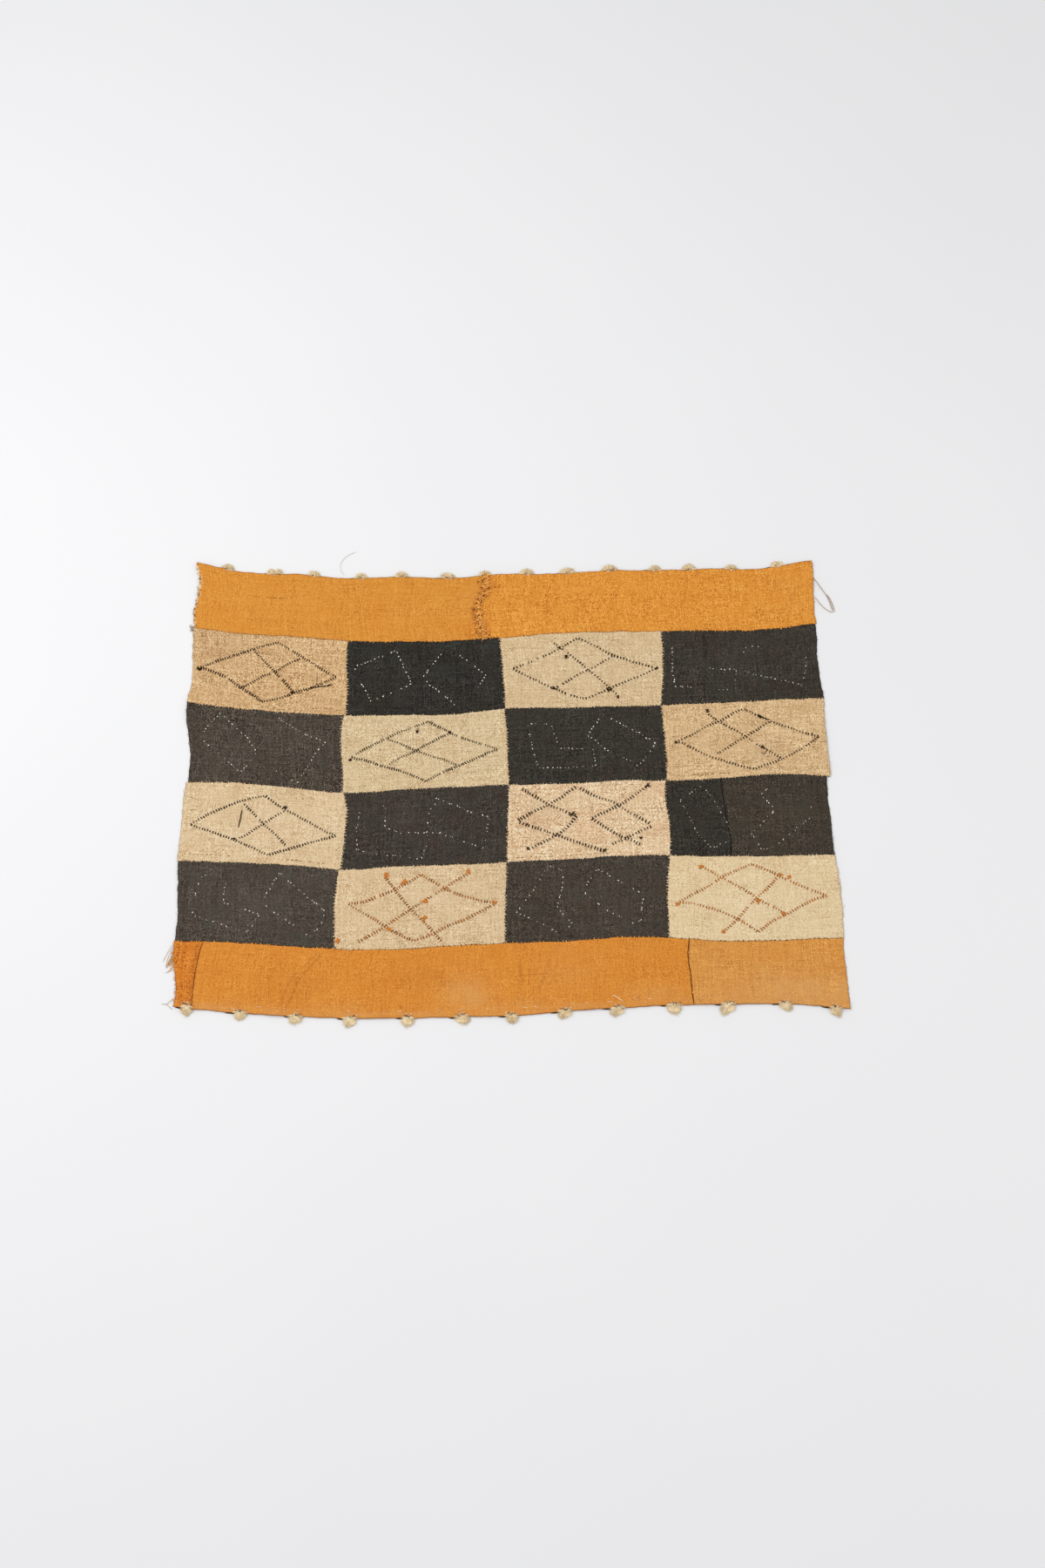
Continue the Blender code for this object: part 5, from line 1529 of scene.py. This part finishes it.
# a knot of orange thread at the far left corner
r = np.random.RandomState(3511)
pos = top_at("far_border_left", np.full(14, 0.5 / w_l), np.linspace(0.95, 0.995, 14))
pos[:, 2] *= 0.8
curls(amber_loose, pos, np.pi + r.normal(0, 0.5, 14), MM * r.uniform(0.9, 2.0, 14), r.uniform(1.0, 2.8, 14),
      MM * r.uniform(0.50, 0.80, 14), r.uniform(0.0, 0.7, 14), 3512, k=8, lift=(0.0, 0.3))
# thread ends that hang from the frayed end of the near border
r = np.random.RandomState(3501)
for i in range(16):
    x0, y0 = -597.5 + r.uniform(-1.5, 2.0), -302 - 2.0 * i + r.normal(0, 3.0)
    down, out = r.uniform(2, 18), r.uniform(4, 15) * (1.0 if i > 3 else 0.7)
    strand(amber_loose if i % 3 else loose,
           [(x0 + 2, y0 + 1, 2.0), (x0 - 0.45 * out, y0 - 0.30 * down, 1.4), (x0 - out, y0 - down, 0.5)],
           r.uniform(0.32, 0.55), r.uniform(0.3, 1.0), 12)
works.append(loose.make("loose_threads", TAN, "raffia_natural"))

strand(amber_loose, [(-84, 352, 3.6), (-92, 361, 4.4), (-101, 366, 4.0), (-113, 364, 3.0), (-124, 361, 2.2)], 0.55, 0.85)
strand(amber_loose, [(-95, 373, 3.4), (-92, 364, 4.6), (-83, 351, 4.0)], 0.5, 0.8)
strand(amber_loose, [(48, -316, 2.2), (38, -345, 2.8), (29, -369, 2.1)], 0.45, 0.8)
works.append(amber_loose.make("loose_strands", AMBER, "raffia_orange"))

pale_loose = Bundle()
strand(pale_loose, [(154, -379, 2.4), (161, -383, 3.2), (169, -389, 3.6)], 0.6, 0.9, 12)
works.append(pale_loose.make("loose_ends", STRAW, "raffia_tuft"))

hair = Bundle()
strand(hair, [(-333, 409, 2.2), (-339, 418, 3.0), (-341, 432, 1.6), (-335, 444, 0.7), (-325, 453, 0.4), (-311, 459, 0.3)],
       0.28, 0.5, 34)
works.append(hair.make("loose_hair", TAN, "raffia_natural"))

# ------------------------------------------------------------- sheet lengths, hem included
for node, (obj, width, length) in sheets.items():
    far, near, left, right, cloth, hem = PIECES[node]
    if hem:
        length += HEM_WIDTH * MM

# ------------------------------------------------------------ floor, lights
bpy.ops.mesh.primitive_plane_add(size=9.0, location=(0, 0, -0.0004))
floor = bpy.context.object
floor.name = "floor"
m = Nodes("floor_white")
co = m.tree.nodes.new("ShaderNodeTexCoord").outputs["Object"]
soft = m.noise(co, 1.3, 2.0, 0.5)
m.link(m.mix(soft, srgb(230, 230, 232), srgb(234, 234, 235)), m.shader.inputs["Base Color"])
m.shader.inputs["Roughness"].default_value = 0.75
m.shader.inputs["Specular IOR Level"].default_value = 0.1
floor.data.materials.append(m.mat)
floor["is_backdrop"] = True

scene = bpy.context.scene
scene.view_settings.view_transform = 'Standard'
world = bpy.data.worlds.new("studio")
scene.world = world
world.use_nodes = True
world.node_tree.nodes["Background"].inputs[0].default_value = (1.0, 1.0, 1.0, 1.0)
world.node_tree.nodes["Background"].inputs[1].default_value = 0.75


def area(name, location, target, size, power, colour=(1, 1, 1)):
    light = bpy.data.lights.new(name, 'AREA')
    light.shape = 'RECTANGLE'
    light.size, light.size_y = size
    light.energy = power
    light.color = colour
    obj = bpy.data.objects.new(name, light)
    obj.location = location
    obj.rotation_euler = (Vector(target) - Vector(location)).to_track_quat('-Z', 'Y').to_euler()
    scene.collection.objects.link(obj)
    return obj


area("key", (-1.9, 0.50, 2.6), (0, -0.05, 0), (2.0, 1.5), 36)
area("fill", (2.4, -0.5, 2.7), (0, -0.1, 0), (2.4, 2.2), 17)

# ------------------------------------------------------------------- camera
# the photograph looks down at 71.6 degrees through a 35 mm lens, 2.715 m away
ELEVATION, DISTANCE = math.radians(71.6), 2.715
target = Vector((SHIFT_X * MM, SHIFT_Y * MM, 0.0))
cam_data = bpy.data.cameras.new("camera")
cam_data.sensor_fit = 'VERTICAL'
cam_data.sensor_height = 36.0
cam_data.lens = 35.0
cam = bpy.data.objects.new("camera", cam_data)
cam.location = target + Vector((0, -math.cos(ELEVATION), math.sin(ELEVATION))) * DISTANCE
cam.rotation_euler = (math.pi / 2 - ELEVATION, 0, 0)
cam_data.clip_end = 50
scene.collection.objects.link(cam)
scene.camera = cam

low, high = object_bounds()
